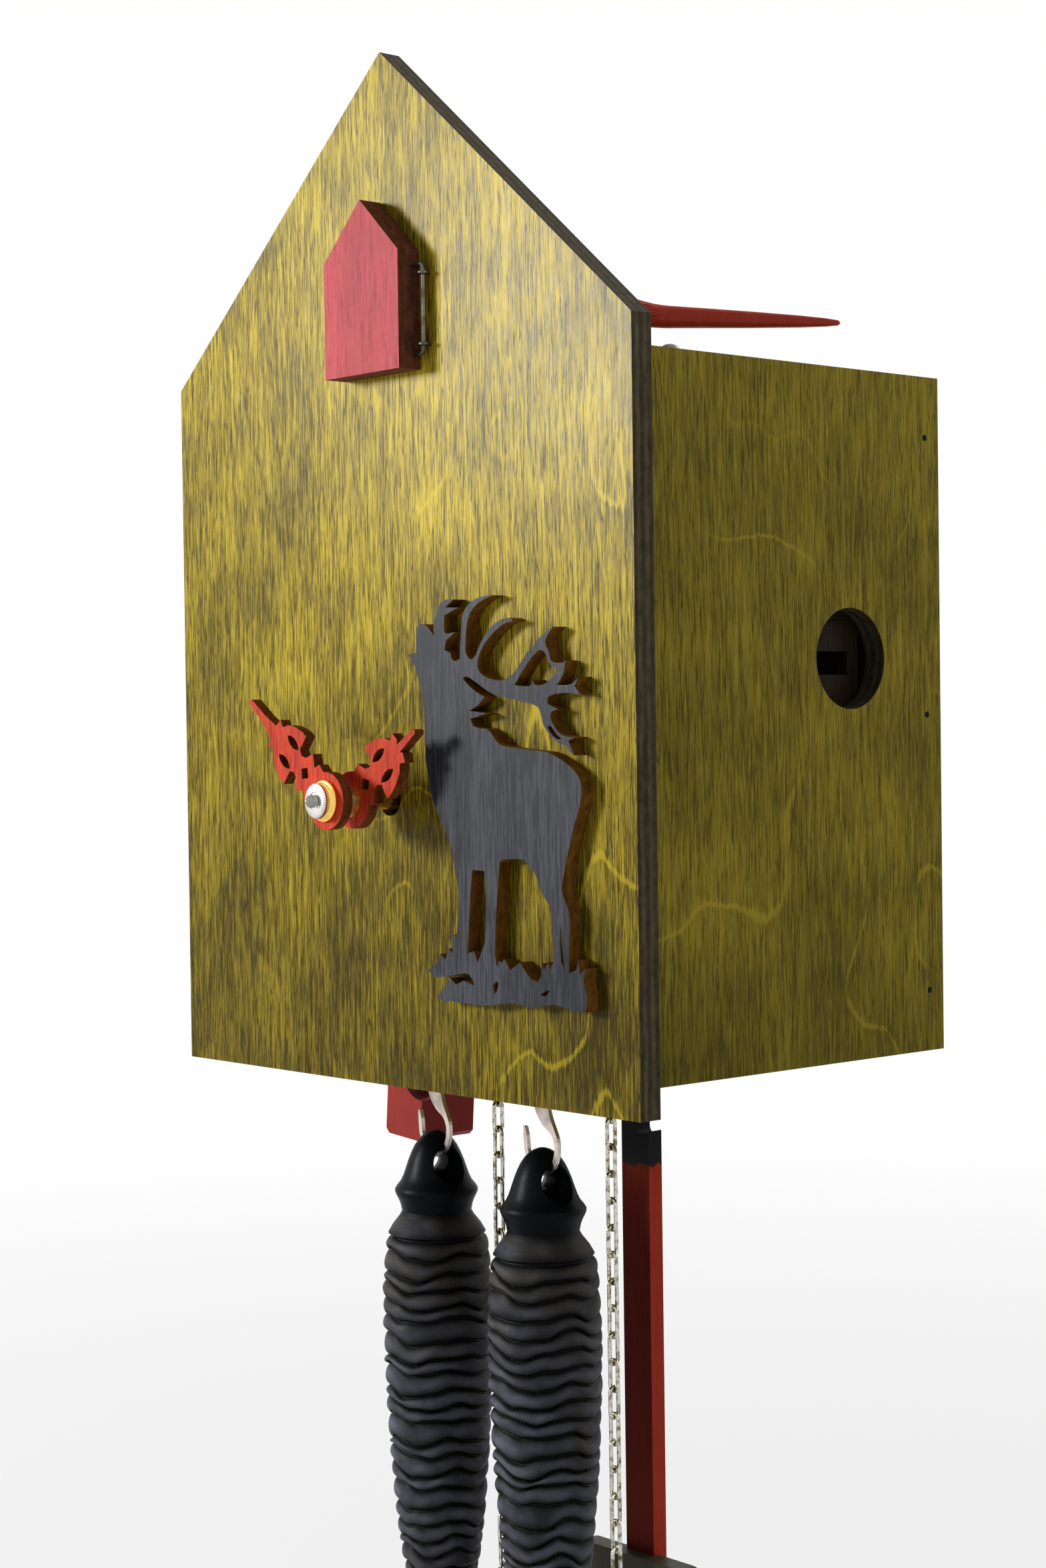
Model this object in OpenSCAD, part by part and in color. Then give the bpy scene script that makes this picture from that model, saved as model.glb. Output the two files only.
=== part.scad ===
// Wall cuckoo clock with a house-shaped plywood front, a box case behind it, a bird that swings
// out through a hinged door, a going train and a strike train driven by two pine-cone weights on
// link chains, and a pendulum with a sliding bob.
//
// The model is laid out from the clock's own point: X from the middle, Y from the front face of
// the panel, backwards, and Z from the panel's lower edge. at_hanger() moves it so that the origin
// is the middle of the hanger hole on the rear face.

/* [Case] */
// Width of the front panel
panel_w = 185; // [170:1:220]
// Height of the front panel at its shoulders
wall_h = 190; // [175:1:230]
// Height of the gable above the shoulders
gable_h = 78; // [65:1:100]
// Thickness of the front panel
panel_t = 6.5; // [5:0.5:9]
// Depth from the front of the panel to the back of the case
case_d = 118; // [114:1:150]
// How far the case lies inside the panel's edges
case_inset = 6.3; // [4:0.1:8]
// Thickness of the case boards
board_t = 6.5; // [5:0.5:8]
// Thickness of the back panel
back_t = 4; // [3:0.5:6]
// Radius of the sound hole in each side
sound_r = 13; // [10:0.5:15]
// Height of the sound holes above the panel's lower edge
sound_z = 109.6; // [100:0.1:115]
// Distance of the sound holes behind the panel's front
sound_y = 82.6; // [75:0.1:85]
// Radius of the hanger hole in the back panel
hanger_r = 4.5; // [3:0.1:6]
// Height of the hanger hole above the panel's lower edge
hanger_z = 160; // [150:1:165]

/* [Door and bird] */
// Width of the bird's door
door_w = 30.6; // [28:0.1:36]
// Height of the door at its shoulders
door_h = 30; // [26:0.5:36]
// Height of the door's gable
door_gable = 14.7; // [10:0.1:18]
// Thickness of the door
door_t = 7; // [5:0.5:9]
// How far the door overlaps the edges of the opening behind it
door_lap = 3.2; // [2:0.1:4]
// Depth of the door's lower edge below the panel's shoulders
door_drop = 5.5; // [4:0.1:8]
// Length of the bird from beak to tail
bird_len = 103; // [90:1:104]
// Angle that the bird turns to come out
bird_swing = 36; // [30:1:38]

/* [Ornament] */
// Thickness of the stag and of its grass
stag_t = 4; // [3:0.5:6]
// Distance from the stag's right side to the panel's edge
stag_margin = 13.6; // [8:0.1:20]
// Height of the stag's foot above the panel's lower edge
stag_z = 24; // [15:0.5:35]

/* [Hands] */
// Height of the hand arbor above the panel's lower edge
hand_z = 75; // [72:0.5:78]
// Length of the minute hand from its arbor
minute_len = 41.6; // [38:0.1:50]
// Length of the hour hand from its arbor
hour_len = 31.6; // [29:0.1:36]
// Thickness of the wooden hands
hand_t = 3; // [2:0.1:3.5]
// Minute that the hands show
shown_minute = 51.5; // [0:0.5:59.5]
// Hour that the hands show
shown_hour = 1; // [0:1:11]
// Radius of the hole in the panel for the hand arbor
hand_hole_r = 4.5; // [3.5:0.1:6]

/* [Chains and weights] */
// Distance of the chain wheels from the middle
wheel_x = 22.5; // [22.3:0.1:23.2]
// Distance of the chains behind the panel's front
chain_y = 43.5; // [43.2:0.1:43.8]
// Radius of the chain wheels at the middle of the chain
chain_r = 13.5; // [13.3:0.1:13.8]
// Thickness of the chain wire
link_wire = 1.1; // [0.9:0.1:1.2]
// Width of a chain link
link_w = 3.9; // [3.6:0.1:4]
// Largest radius of a weight
cone_r = 15.7; // [13:0.1:15.9]
// Length of a weight with its eye
cone_len = 145; // [120:1:170]
// Height of the weights' tops, below the panel's lower edge
cone_drop = 20; // [18:0.5:40]
// Links of a free strand below the chain wheel
free_links = 30; // [24:1:36]

/* [Pendulum] */
// Width of the pendulum rod
rod_w = 11; // [8:0.5:12]
// Thickness of the pendulum rod
rod_t = 5; // [4:0.5:6]
// Distance of the rod's middle behind the panel's front
rod_y = 89.2; // [88.5:0.1:91]
// Depth of the bob's top below the panel's lower edge
bob_drop = 141; // [100:1:180]
// Width of the bob
bob_w = 48; // [36:1:60]
// Height of the bob
bob_h = 44; // [30:1:60]
// Thickness of the bob
bob_t = 6; // [5:0.5:8]
// Swing of the pendulum to each side
swing = 4; // [2:0.5:5]

/* [Hidden] */
$fn = 48;
// Gap between pieces that must not touch
clear = 0.3;
// Radial clearance of a running fit
run = 0.05;

// case
half_in = panel_w / 2 - case_inset - board_t;
half_out = panel_w / 2 - case_inset;
case_lo = case_inset;
case_hi = wall_h - case_inset;
floor_z = case_lo + board_t;
ceil_z = case_hi - board_t;
back_y = case_d - back_t;

// door, its wire hinge and the bird behind it
door_z = wall_h - door_drop;
door_back = -clear;
hinge_x = door_w / 2 + 3.7;
hinge_y = -2;
hinge_r = 0.65;
hinge_deep = 4;
hinge_ends = [door_z + 3.8, door_z + 26.3];
eyelet_z = [door_z + 6, door_z + 24];
bird_arbor = [66, 12];
bird_arbor_r = 1.5;
bird_out = -15;
bird_z = door_z + door_h * 0.7;
arm_z = case_hi + 5;
perch = 34;

// movement
plate_w = 84;
plate_t = 1.5;
plate_lo = 34;
plate_hi = 138;
front_y = 22;
rear_y = 74;
pillar_r = 2.5;
pillars = [[-22, 38.5], [22, 38.5], [-37, 132], [37, 132]];
pivot_r = 0.75;

// going train: tooth counts, modules and arbors
great_t = 48;
centre_pinion_t = 28;
great_m = 0.7;
great_z = hand_z - sqrt(pow(great_m * (great_t + centre_pinion_t) / 2, 2) - pow(wheel_x, 2));
centre_t = 60;
third_pinion_t = 6;
centre_m = 0.55;
third_t = 72;
escape_pinion_t = 6;
third_m = 0.42;
escape_t = 30;
escape_r = 11;
third_x = 2.5;
third_z = hand_z + sqrt(pow(centre_m * (centre_t + third_pinion_t) / 2, 2) - pow(third_x, 2));
escape_z = third_z + sqrt(pow(third_m * (third_t + escape_pinion_t) / 2, 2) - pow(third_x, 2));
anchor_z = escape_z + escape_r * sqrt(2);

// strike train
pin_pinion_t = 12;
pin_t = 60;
fly_pinion_t = 6;
pin_m = 0.5;
pin_z = great_z + great_m * (great_t + pin_pinion_t) / 2;
fly_z = pin_z + pin_m * (pin_t + fly_pinion_t) / 2;
pin_ring = pin_m * (pin_t / 2 - 2.2);
hammer_arbor = [-34, 108];

// motion work
cannon_t = 12;
minute_wheel_t = 36;
motion_m = 0.5;
minute_pinion_t = 10;
hour_wheel_t = 40;
motion_d = motion_m * (cannon_t + minute_wheel_t) / 2;
hour_m = 2 * motion_d / (minute_pinion_t + hour_wheel_t);
minute_post = [-motion_d * sqrt(0.5), hand_z - motion_d * sqrt(0.5)];

// hands, counted backwards from the front of the minute hand
minute_y = -21;
hour_y = -12.7;
stud_r = 1.5;
pipe_r = 2.8;
minute_turn = -shown_minute * 6;
hour_turn = -(shown_hour + shown_minute / 60) * 30;

// chains
chain_pitch = 2 * PI * chain_r / 12;
strands = [-wheel_x - chain_r, -wheel_x + chain_r, wheel_x - chain_r, wheel_x + chain_r];
hook_len = 16;
loaded_links = floor((great_z + cone_drop - hook_len) / chain_pitch);
hook_top = great_z - loaded_links * chain_pitch;
eye_z = -cone_drop - 8.5;
eye_r = 2.6;
eye_flare = tan(30);
eye_turn = -8;
ring_r = 6;
ring_wire = 0.75;
chain_hole_r = 6.5;

// pendulum
rod_top = 8;
notch_z = -20;
tongue_w = 6.4;
rod_low = -bob_drop - bob_h + 8;
leader_w = 6;
leader_t = 0.8;
leader_y = rod_y - rod_t / 2 - leader_t;
pin_r = 1.2;

// whistles, bellows and gong
whistle_w = 20;
whistle_d = 22;
whistle_gap = 1;
whistle_x = half_in - whistle_gap - whistle_w / 2;
whistle_hi = sound_z + 16;
bellows_w = 23;
bellows_y = [62, 108];
bellows_x = half_in - clear - bellows_w / 2;
gong_y = 103;
gong_z = 76;
gong_r = 32;
gong_wire = 1.2;

// shut-off lever
tab_x = -64.5;
tab_w = 16;
tab_y = [57, 77];
tab_z = floor_z - board_t / 2;
tab_drop = 27;
tab_tilt = 4.5;
stem_w = 6;
stem_y = [59.5, 67];

// ---- helpers -------------------------------------------------------------------------------

// Moves the clock so that the hanger hole on the rear face is the origin
module at_hanger() translate([0, -case_d, -hanger_z]) children();

// A cylinder along Y from y0 to y1 about (x, z)
module rod_y(x, z, y0, y1, r) translate([x, y1, z]) rotate([90, 0, 0]) cylinder(h = y1 - y0, r = r);

// A flat shape drawn in X and Z, given depth from y0 to y1
module plate_xz(y0, y1) translate([0, y1, 0]) rotate([90, 0, 0]) linear_extrude(y1 - y0) children();

// A box from its low corner to its high corner
module block(lo, hi) translate(lo) cube(hi - lo);

// Point at distance r and angle a
function polar(r, a) = [r * cos(a), r * sin(a)];

// One span of a Catmull-Rom curve
function span(a, b, c, d, t) =
    0.5 * (2 * b + (c - a) * t + (2 * a - 5 * b + 4 * c - d) * t * t + (3 * b - a - 3 * c + d) * t * t * t);

// A smooth run through the points p, without its last point
function curve(p, n = 3) = [
    for (i = [0 : len(p) - 2], k = [0 : n - 1])
        span(p[max(i - 1, 0)], p[i], p[i + 1], p[min(i + 2, len(p) - 1)], k / n)
];

// Outline of a gear: four points a tooth, with a slim tooth for free running
function gear_points(teeth, m, turn = 0) =
    let (rp = teeth * m / 2, tip = rp + 0.85 * m, root = rp - 1.15 * m, step = 360 / teeth)
    [for (i = [0 : teeth - 1], q = [[root, -0.24], [tip, -0.09], [tip, 0.09], [root, 0.24]])
        polar(q[0], turn + (i + q[1]) * step)];

// A spoked wheel, or a solid pinion where spokes is 0
module gear(teeth, m, thick, bore, spokes = 0, turn = 0) {
    rp = teeth * m / 2;
    rim = rp - 3.2 * m;
    hub = max(3, bore + 1.6);
    translate([0, 0, -thick / 2]) linear_extrude(thick) difference() {
        polygon(gear_points(teeth, m, turn));
        circle(bore);
        if (spokes > 0) difference() {
            circle(rim);
            circle(hub);
            for (i = [0 : spokes - 1]) rotate(i * 360 / spokes) translate([0, -0.9]) square([rim + 1, 1.8]);
        }
    }
}

// Turns a part made about Z so that it lies along Y at (x, y, z), still counted from +X to +Z
module on_arbor(x, y, z) translate([x, y, z]) rotate([90, 0, 0]) children();

// One link of chain wire, standing along Z, its width along X
module link() {
    r = link_wire / 2;
    bend = link_w / 2 - r;
    straight = chain_pitch - 2 * bend + 2 * r - clear / 3;
    for (s = [-1, 1]) {
        translate([s * bend, 0, -straight / 2]) cylinder(h = straight, r = r, $fn = 16);
        translate([0, 0, s * straight / 2]) rotate([90, 0, 0]) rotate([0, 0, s > 0 ? 0 : 180])
            rotate_extrude(angle = 180, $fn = 24) translate([bend, 0]) circle(r, $fn = 16);
    }
}

// A straight run of links hanging down from the top, each turned a quarter from the next one
// The last link stands at the angle last.
module strand(x, top, links, last)
    for (i = [0 : links - 1])
        translate([x, chain_y, top - (i + 0.5) * chain_pitch])
            rotate([0, 0, (links - 1 - i) % 2 == 0 ? last : 90 - last]) link();

// ---- case ----------------------------------------------------------------------------------

// House shape of a width, a wall height and a gable height, standing on z
module house(w, h, gable, z) translate([0, z])
    polygon([[-w / 2, 0], [w / 2, 0], [w / 2, h], [0, h + gable], [-w / 2, h]]);

module front_panel() color("darkkhaki") at_hanger() plate_xz(0, panel_t) difference() {
    house(panel_w, wall_h, gable_h, 0);
    house(door_w - 2 * door_lap, door_h - door_lap, door_gable - door_lap / 2, door_z + door_lap);
    translate([0, hand_z]) circle(hand_hole_r);
}

module side_board(s) color("olive") at_hanger() difference() {
    mirror([s > 0 ? 0 : 1, 0, 0]) block([half_in, panel_t, case_lo], [half_out, case_d, case_hi]);
    translate([s * (half_in - 1), sound_y, sound_z]) rotate([0, s * 90, 0])
        cylinder(h = board_t + 2, r = sound_r);
}

module top_board() color("olive") at_hanger() difference() {
    block([-half_in, panel_t, ceil_z], [half_in, case_d, case_hi]);
    translate([bird_arbor[0], bird_arbor[1], ceil_z - 1]) cylinder(h = board_t + 2, r = bird_arbor_r + run);
}

module bottom_board() color("olive") at_hanger() difference() {
    block([-half_in, panel_t, case_lo], [half_in, case_d, floor_z]);
    for (x = strands) translate([x, chain_y, case_lo - 1]) cylinder(h = board_t + 2, r = chain_hole_r);
    rod_way = [rod_w / 2 + (anchor_z - case_lo) * tan(swing) + 2, rod_t / 2 + 3];
    block([-rod_way[0], rod_y - rod_way[1], case_lo - 1], [rod_way[0], rod_y + rod_way[1], floor_z + 1]);
    block([tab_x - stem_w, stem_y[0] - 0.4, case_lo - 1], [tab_x + stem_w, stem_y[1] + 0.4, floor_z + 1]);
    rod_y(tab_x, tab_z, stem_y[0] - 4, stem_y[1] + 4, pin_r);
}

module back_panel() color("tan") at_hanger() difference() {
    block([-half_in, back_y, floor_z], [half_in, case_d, ceil_z]);
    rod_y(0, hanger_z, back_y - 1, case_d + 1, hanger_r);
}

// ---- stag ----------------------------------------------------------------------------------

// The roaring stag on its grass, drawn from its own lower left corner
stag_outline = concat(
    [[-0.6, 88]],
    curve([[2.8, 88.4], [2.6, 91], [2.9, 94.6], [4.4, 95.6], [7, 95], [9.9, 92.3]]),
    curve([[9.9, 92.3], [9.6, 94.5], [10.6, 97.6], [12, 100], [14.5, 101.3], [17.5, 101.3]]),
    [[17.5, 101.3], [14.2, 99.4], [19.3, 99.2]],
    curve([[14, 97.5], [13.8, 95.5], [13.9, 93.5], [14.8, 92.6]]),
    [[18, 93.1], [14.5, 91.2], [13.8, 88.8]],
    curve([[16, 88], [16.7, 86.4], [18.2, 85.9], [19.7, 86.5]]),
    curve([[19.7, 86.5], [20.2, 92], [20.9, 96.8], [23, 99.6], [27, 101.3], [32.5, 101.7]]),
    curve([[32.5, 101.7], [27.5, 100.2], [24.3, 98], [22.6, 95], [22.1, 91], [22, 88], [24, 86.1], [26, 87.3]]),
    curve([[26, 87.3], [27.7, 90], [31, 93.4], [35, 95.4], [38.5, 95.9], [40, 95.1]]),
    curve([[40, 95.1], [36, 94.3], [31.5, 91.7], [27.9, 88.3], [26.5, 85.2], [27.2, 83],
        [29.5, 81.7], [33, 80.8], [36.5, 80.8], [40, 82.4], [43, 85.2], [45, 87.3], [47.3, 88.4],
        [49.2, 90.5], [54.6, 93.2]]),
    curve([[54.6, 93.2], [51.6, 90], [52.8, 87.2], [53.8, 84.9], [57.3, 84.4], [58.7, 85]]),
    curve([[58.7, 85], [58.4, 83.3], [57.6, 81.4], [55.6, 79.2]]),
    curve([[55.6, 79.2], [59, 79.1], [61.4, 79.6], [63.3, 81]]),
    [[63.3, 81], [61.8, 78.8], [64, 76.7]],
    curve([[60, 77.2], [56, 77.2], [53, 76.6], [52.2, 75.6], [52.6, 74.6], [55.8, 73.4]]),
    curve([[55.8, 73.4], [53.8, 72.9], [53.2, 71.8], [53.8, 70.2], [56, 67.8], [59, 66.8], [61.8, 66.7]]),
    [[61.8, 66.7], [59.4, 65.8], [61.3, 62.3]],
    curve([[59.8, 63.2], [58.6, 64.7], [56.5, 65], [53.5, 66.8], [50.6, 69.6], [49.6, 72.6], [48.5, 74],
        [45, 75.2], [40, 76], [34.5, 76.8], [30, 78.3], [26, 80.3], [22.5, 81.9], [20.8, 81.6]]),
    curve([[20.8, 81.6], [22.5, 80], [26, 78], [29, 76.8]]),
    curve([[29, 76.8], [26.5, 74.8], [23, 73.4]]),
    [[23, 73.4], [29.5, 72.7], [23.4, 71.4]],
    curve([[24.6, 69.6], [27, 69], [29.5, 68.9], [31.5, 67.6], [33.5, 65.6], [36, 64.6], [41, 64],
        [47, 63.5], [52, 63], [56, 61.6], [59.5, 59.9], [62, 58.1], [63.6, 55.8], [63.7, 53],
        [62.8, 49.5], [61, 45.5], [59.8, 42], [58.3, 37.5], [57, 33], [56.6, 29.5], [57.8, 27],
        [58.9, 24.5], [59.1, 21], [58.7, 17], [58.6, 10.2]], 2),
    [[58.6, 10.2], [61.2, 11.2], [61.8, 13.6], [62.4, 10.2], [64.3, 11.6], [63.7, 8.4], [64.8, 5.2]],
    curve([[64.3, 1.2], [60, 1.2], [53, 2.3], [45, 0.9], [41, 1.6], [35, 1.3], [27, 0.2], [17, 0.5],
        [11, 0.4], [9, 1.2]], 2),
    [[9, 1.2], [11.5, 3.4], [14.3, 6.3], [16.5, 4.8], [19.5, 6], [23.8, 4.9]],
    curve([[23.8, 4.9], [21.5, 7.8], [17, 7.3], [12, 6.5], [8, 6.3], [5.9, 7.8]], 2),
    [[5.9, 7.8], [10, 10.4], [10.4, 12.2], [12.5, 10.8], [13.8, 13.7], [15.3, 12.6], [15.4, 17.3]],
    curve([[17, 17], [18, 24], [18.1, 27], [17.7, 30], [16.6, 34], [15.8, 38], [14.6, 41], [12, 45],
        [9.8, 48.5], [8, 52], [6.9, 56], [5.9, 61], [5.6, 66], [5.5, 71], [5.2, 76], [3.8, 81],
        [1.9, 85], [-0.6, 88]], 2)
);

// Cut-outs: between the antler's beams, the legs and the blades of grass
stag_holes = [
    curve([[40.3, 79.5], [42, 81.5], [45.5, 85], [49, 87.6], [51.2, 87.3], [52.6, 85.2], [53.9, 83.6],
        [56.6, 83.2], [55, 81.8], [52, 79.8], [49, 79.2], [47.4, 79.6], [46.8, 80.6], [46.2, 79.2],
        [43, 79.1], [40.3, 79.5]], 2),
    curve([[52, 69.4], [53.4, 69.2], [55.2, 67.4], [57, 66.2], [55.3, 66.3], [53, 67.8], [52, 69.4]], 2),
    concat([[23.4, 33.8]], curve([[28, 33.7], [28.6, 27], [28.2, 20], [27.7, 13]], 2),
        [[25, 10.8], [23.6, 13.6]], curve([[21.3, 12.9], [21.6, 18], [22.3, 25], [23.4, 33.8]], 2)),
    concat(curve([[33.8, 36], [35, 36.7], [39, 37], [43, 36.8], [46.5, 34], [48.5, 30.5], [50, 28],
        [52, 26.2], [52.6, 22], [53, 17], [53, 12.4]], 2),
        [[53, 12.4], [51.8, 10.8], [51, 12.4], [49.6, 10.4], [48.8, 12], [48.5, 8.8]],
        curve([[47.5, 7.3], [45, 8], [42.5, 10], [41, 11.8]], 2),
        [[41, 11.8], [37.3, 9.7], [35, 12.3], [34.3, 11.2], [33, 11.7], [32.3, 10]],
        curve([[31.6, 13], [32, 20], [32.8, 28], [33.8, 36]], 2)),
    [[55.8, 22], [56.3, 16], [56.9, 11.3], [55.9, 12.5], [55.5, 17]],
    [[30.8, 5.6], [31.8, 6.6], [32.8, 6.3], [32.3, 4.4], [31.3, 3.3]],
    [[48, 4.2], [50, 5.4], [51.8, 5.6], [50, 4]]
];
stag_w = 65;

module stag() color([0.2, 0.22, 0.26]) at_hanger() translate([panel_w / 2 - stag_margin - stag_w, 0, stag_z])
    plate_xz(-stag_t, 0) difference() {
        polygon(stag_outline);
        for (h = stag_holes) polygon(h);
    }

// ---- door and bird -------------------------------------------------------------------------

module door_eyelets() color("dimgray") at_hanger() for (z = eyelet_z) {
    ring = hinge_r + run + 0.45;
    translate([hinge_x, hinge_y, z]) rotate_extrude() translate([ring, 0]) circle(0.45, $fn = 24);
    rod_y(hinge_x, z, hinge_y + ring + 0.2, 0, 0.45);
}

module door() color("indianred") at_hanger() difference() {
    plate_xz(door_back - door_t, door_back) house(door_w, door_h, door_gable, door_z);
    for (z = hinge_ends)
        translate([door_w / 2 - hinge_deep, hinge_y, z]) rotate([0, 90, 0]) cylinder(h = 5, r = hinge_r);
}

module door_wire() color("gray") at_hanger() {
    bend = 1.6;
    translate([hinge_x, hinge_y, hinge_ends[0] + bend])
        cylinder(h = hinge_ends[1] - hinge_ends[0] - 2 * bend, r = hinge_r);
    for (i = [0, 1]) {
        s = i == 0 ? -1 : 1;
        translate([hinge_x - bend, hinge_y, hinge_ends[i] - s * bend]) rotate([90, 0, 0])
            rotate([0, 0, i == 0 ? -90 : 0]) rotate_extrude(angle = 90) translate([bend, 0]) circle(hinge_r);
        translate([door_w / 2 - hinge_deep, hinge_y, hinge_ends[i]]) rotate([0, 90, 0])
            cylinder(h = hinge_x - bend - door_w / 2 + hinge_deep, r = hinge_r);
    }
}

// Places what is drawn for the bird at its farthest out, beak towards -Y, turned back to rest
module bird_at_rest() translate([bird_arbor[0], bird_arbor[1], 0]) rotate([0, 0, -bird_swing])
    translate([-bird_arbor[0], -bird_arbor[1], 0]) children();

module bird_bracket() color("silver") at_hanger() {
    z = ceil_z - 26;
    difference() {
        block([bird_arbor[0] - 5, panel_t, z], [bird_arbor[0] + 5, bird_arbor[1] + 4, z + 1.5]);
        translate([bird_arbor[0], bird_arbor[1], z - 1]) cylinder(h = 4, r = bird_arbor_r + run);
    }
    block([bird_arbor[0] - 5, panel_t, z + 1.5], [bird_arbor[0] + 5, panel_t + 1.5, z + 13]);
}

module bird_arbor() color("silver") at_hanger() bird_at_rest() {
    foot = ceil_z - 30;
    translate([bird_arbor[0], bird_arbor[1], foot]) cylinder(h = arm_z + 2 - foot, r = bird_arbor_r);
    // lifting finger under the bracket
    block([bird_arbor[0] - 16, bird_arbor[1] - 1, foot], [bird_arbor[0], bird_arbor[1] + 1, foot + 2]);
    // arm to the bird, and the post that it stands on
    y = bird_out + perch;
    reach = sqrt(pow(bird_arbor[0], 2) + pow(y - bird_arbor[1], 2));
    translate([bird_arbor[0], bird_arbor[1], arm_z]) cylinder(h = 2, r = 4);
    aim = 180 - atan2(y - bird_arbor[1], bird_arbor[0]);
    translate([bird_arbor[0], bird_arbor[1], arm_z]) rotate([0, 0, aim])
        translate([0, -2, 0]) cube([reach, 4, 1.5]);
    translate([0, y, arm_z]) cylinder(h = bird_z - arm_z - 7, r = 1.4);
    translate([0, y, arm_z]) cylinder(h = 1.5, r = 3);
}

// Half outline of the bird: [distance from the beak, radius]
function bird_profile(len) = concat(
    [[0, 0], [0.6, 0.7], [7.5, 2.6]],
    curve([[7.5, 4], [11, 5.9], [15, 6.1], [20, 5.6], [27, 7.6], [35, 8.2], [44, 6], [52, 3.8]]),
    curve([[52, 3.8], [len - 25, 2.4], [len - 4, 1.3], [len - 1, 0.9], [len, 0.01]], 3),
    [[len, 0]]
);

module bird() color("firebrick") at_hanger() bird_at_rest() difference() {
    translate([0, bird_out, bird_z]) rotate([-90, 0, 0])
        rotate_extrude() polygon([for (p = bird_profile(bird_len)) [p[1], p[0]]]);
    // socket for the post
    translate([0, bird_out + perch, arm_z]) cylinder(h = bird_z - arm_z - 4, r = 1.4);
}

// ---- movement ------------------------------------------------------------------------------

// Plate outline with the holes of the arbors that run in it
module plate(y0) {
    plate_xz(y0, y0 + plate_t) difference() {
        translate([-plate_w / 2, plate_lo]) square([plate_w, plate_hi - plate_lo]);
        for (p = [[wheel_x, great_z], [-wheel_x, great_z], [third_x, third_z], [0, escape_z], [0, anchor_z],
                [-wheel_x, pin_z], [-wheel_x, fly_z]])
            translate(p) circle(pivot_r + run, $fn = 24);
        translate([0, hand_z]) circle(1 + run, $fn = 24);
        translate(hammer_arbor) circle(1 + run, $fn = 24);
    }
}

module plate_front() color("goldenrod") at_hanger() plate(front_y);
module plate_rear() color("goldenrod") at_hanger() plate(rear_y);
module plate_pillars() color("goldenrod") at_hanger()
    for (p = pillars) rod_y(p[0], p[1], front_y + plate_t, rear_y, pillar_r);
module movement_posts() color("peru") at_hanger()
    for (x = [-38, 38], z = [40, 132]) rod_y(x, z, panel_t, front_y, 3);

// Straight arbor with flush pivots, from plate to plate
module arbor(x, z, r = pivot_r) rod_y(x, z, front_y, rear_y + plate_t, r);

// Grooved chain wheel with scalloped cheeks
module chain_wheel() {
    cheek = 1.4;
    gap = link_w + 2 * clear + 0.4;
    drum = chain_r - link_w / 2 - clear;
    on_arbor(0, chain_y, 0) {
        translate([0, 0, -gap / 2]) cylinder(h = gap, r = drum);
        for (s = [-1, 1]) translate([0, 0, s * (gap + cheek) / 2 - cheek / 2]) linear_extrude(cheek)
            difference() {
                circle(chain_r + 2);
                for (i = [0 : 11]) rotate(i * 30) translate([chain_r + 2.6, 0]) circle(1.6, $fn = 16);
            }
    }
}

module driving_wheel(x, y, rest_turn) {
    translate([x, 0, great_z]) {
        on_arbor(0, y, 0) gear(great_t, great_m, 2, pivot_r, 4, rest_turn);
        chain_wheel();
        rod_y(0, 0, y + 1, chain_y - link_w / 2 - clear - 1.6, 4);
    }
    arbor(x, great_z);
}

// The angle at which the great wheel's tooth meets the centre pinion
mesh_great = atan2(hand_z - great_z, -wheel_x);
module great_wheel() color("goldenrod") at_hanger() driving_wheel(wheel_x, 34, mesh_great);
module strike_wheel() color("goldenrod") at_hanger() driving_wheel(-wheel_x, 29, 90);

mesh_third = atan2(third_z - hand_z, third_x);
mesh_escape = atan2(escape_z - third_z, -third_x);

module centre_wheel() color("goldenrod") at_hanger() {
    on_arbor(0, 34, hand_z) gear(centre_pinion_t, great_m, 3, 0.9, 0, mesh_great + 180 + 180 / centre_pinion_t);
    on_arbor(0, 52.6, hand_z) gear(centre_t, centre_m, 1.2, 0.9, 4, mesh_third);
    rod_y(0, hand_z, front_y - 4.2, rear_y + plate_t, 1);
}

module third_wheel() color("goldenrod") at_hanger() {
    on_arbor(third_x, 52.6, third_z)
        gear(third_pinion_t, centre_m, 3, 0.5, 0, mesh_third + 180 + 180 / third_pinion_t);
    on_arbor(third_x, 60.5, third_z) gear(third_t, third_m, 1, 0.5, 4, mesh_escape);
    arbor(third_x, third_z);
}

// Pointed teeth that lean the way the wheel turns
function escape_points(r) =
    [for (i = [0 : escape_t - 1], q = [[r - 2.4, -0.6], [r, 0.02], [r, 0.1], [r - 2.4, -0.08]])
        polar(q[0], (i + q[1]) * 360 / escape_t)];

module escape_wheel() color("goldenrod") at_hanger() {
    on_arbor(0, 66.5, escape_z) linear_extrude(1, center = true) difference() {
        polygon(escape_points(escape_r));
        difference() {
            circle(escape_r - 3.8);
            circle(2.4);
            for (i = [0 : 3]) rotate(i * 90) translate([0, -0.6]) square([escape_r, 1.2]);
        }
        circle(0.5);
    }
    on_arbor(0, 60.5, escape_z)
        gear(escape_pinion_t, third_m, 3, 0.5, 0, mesh_escape + 180 + 180 / escape_pinion_t);
    arbor(0, escape_z);
}

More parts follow.
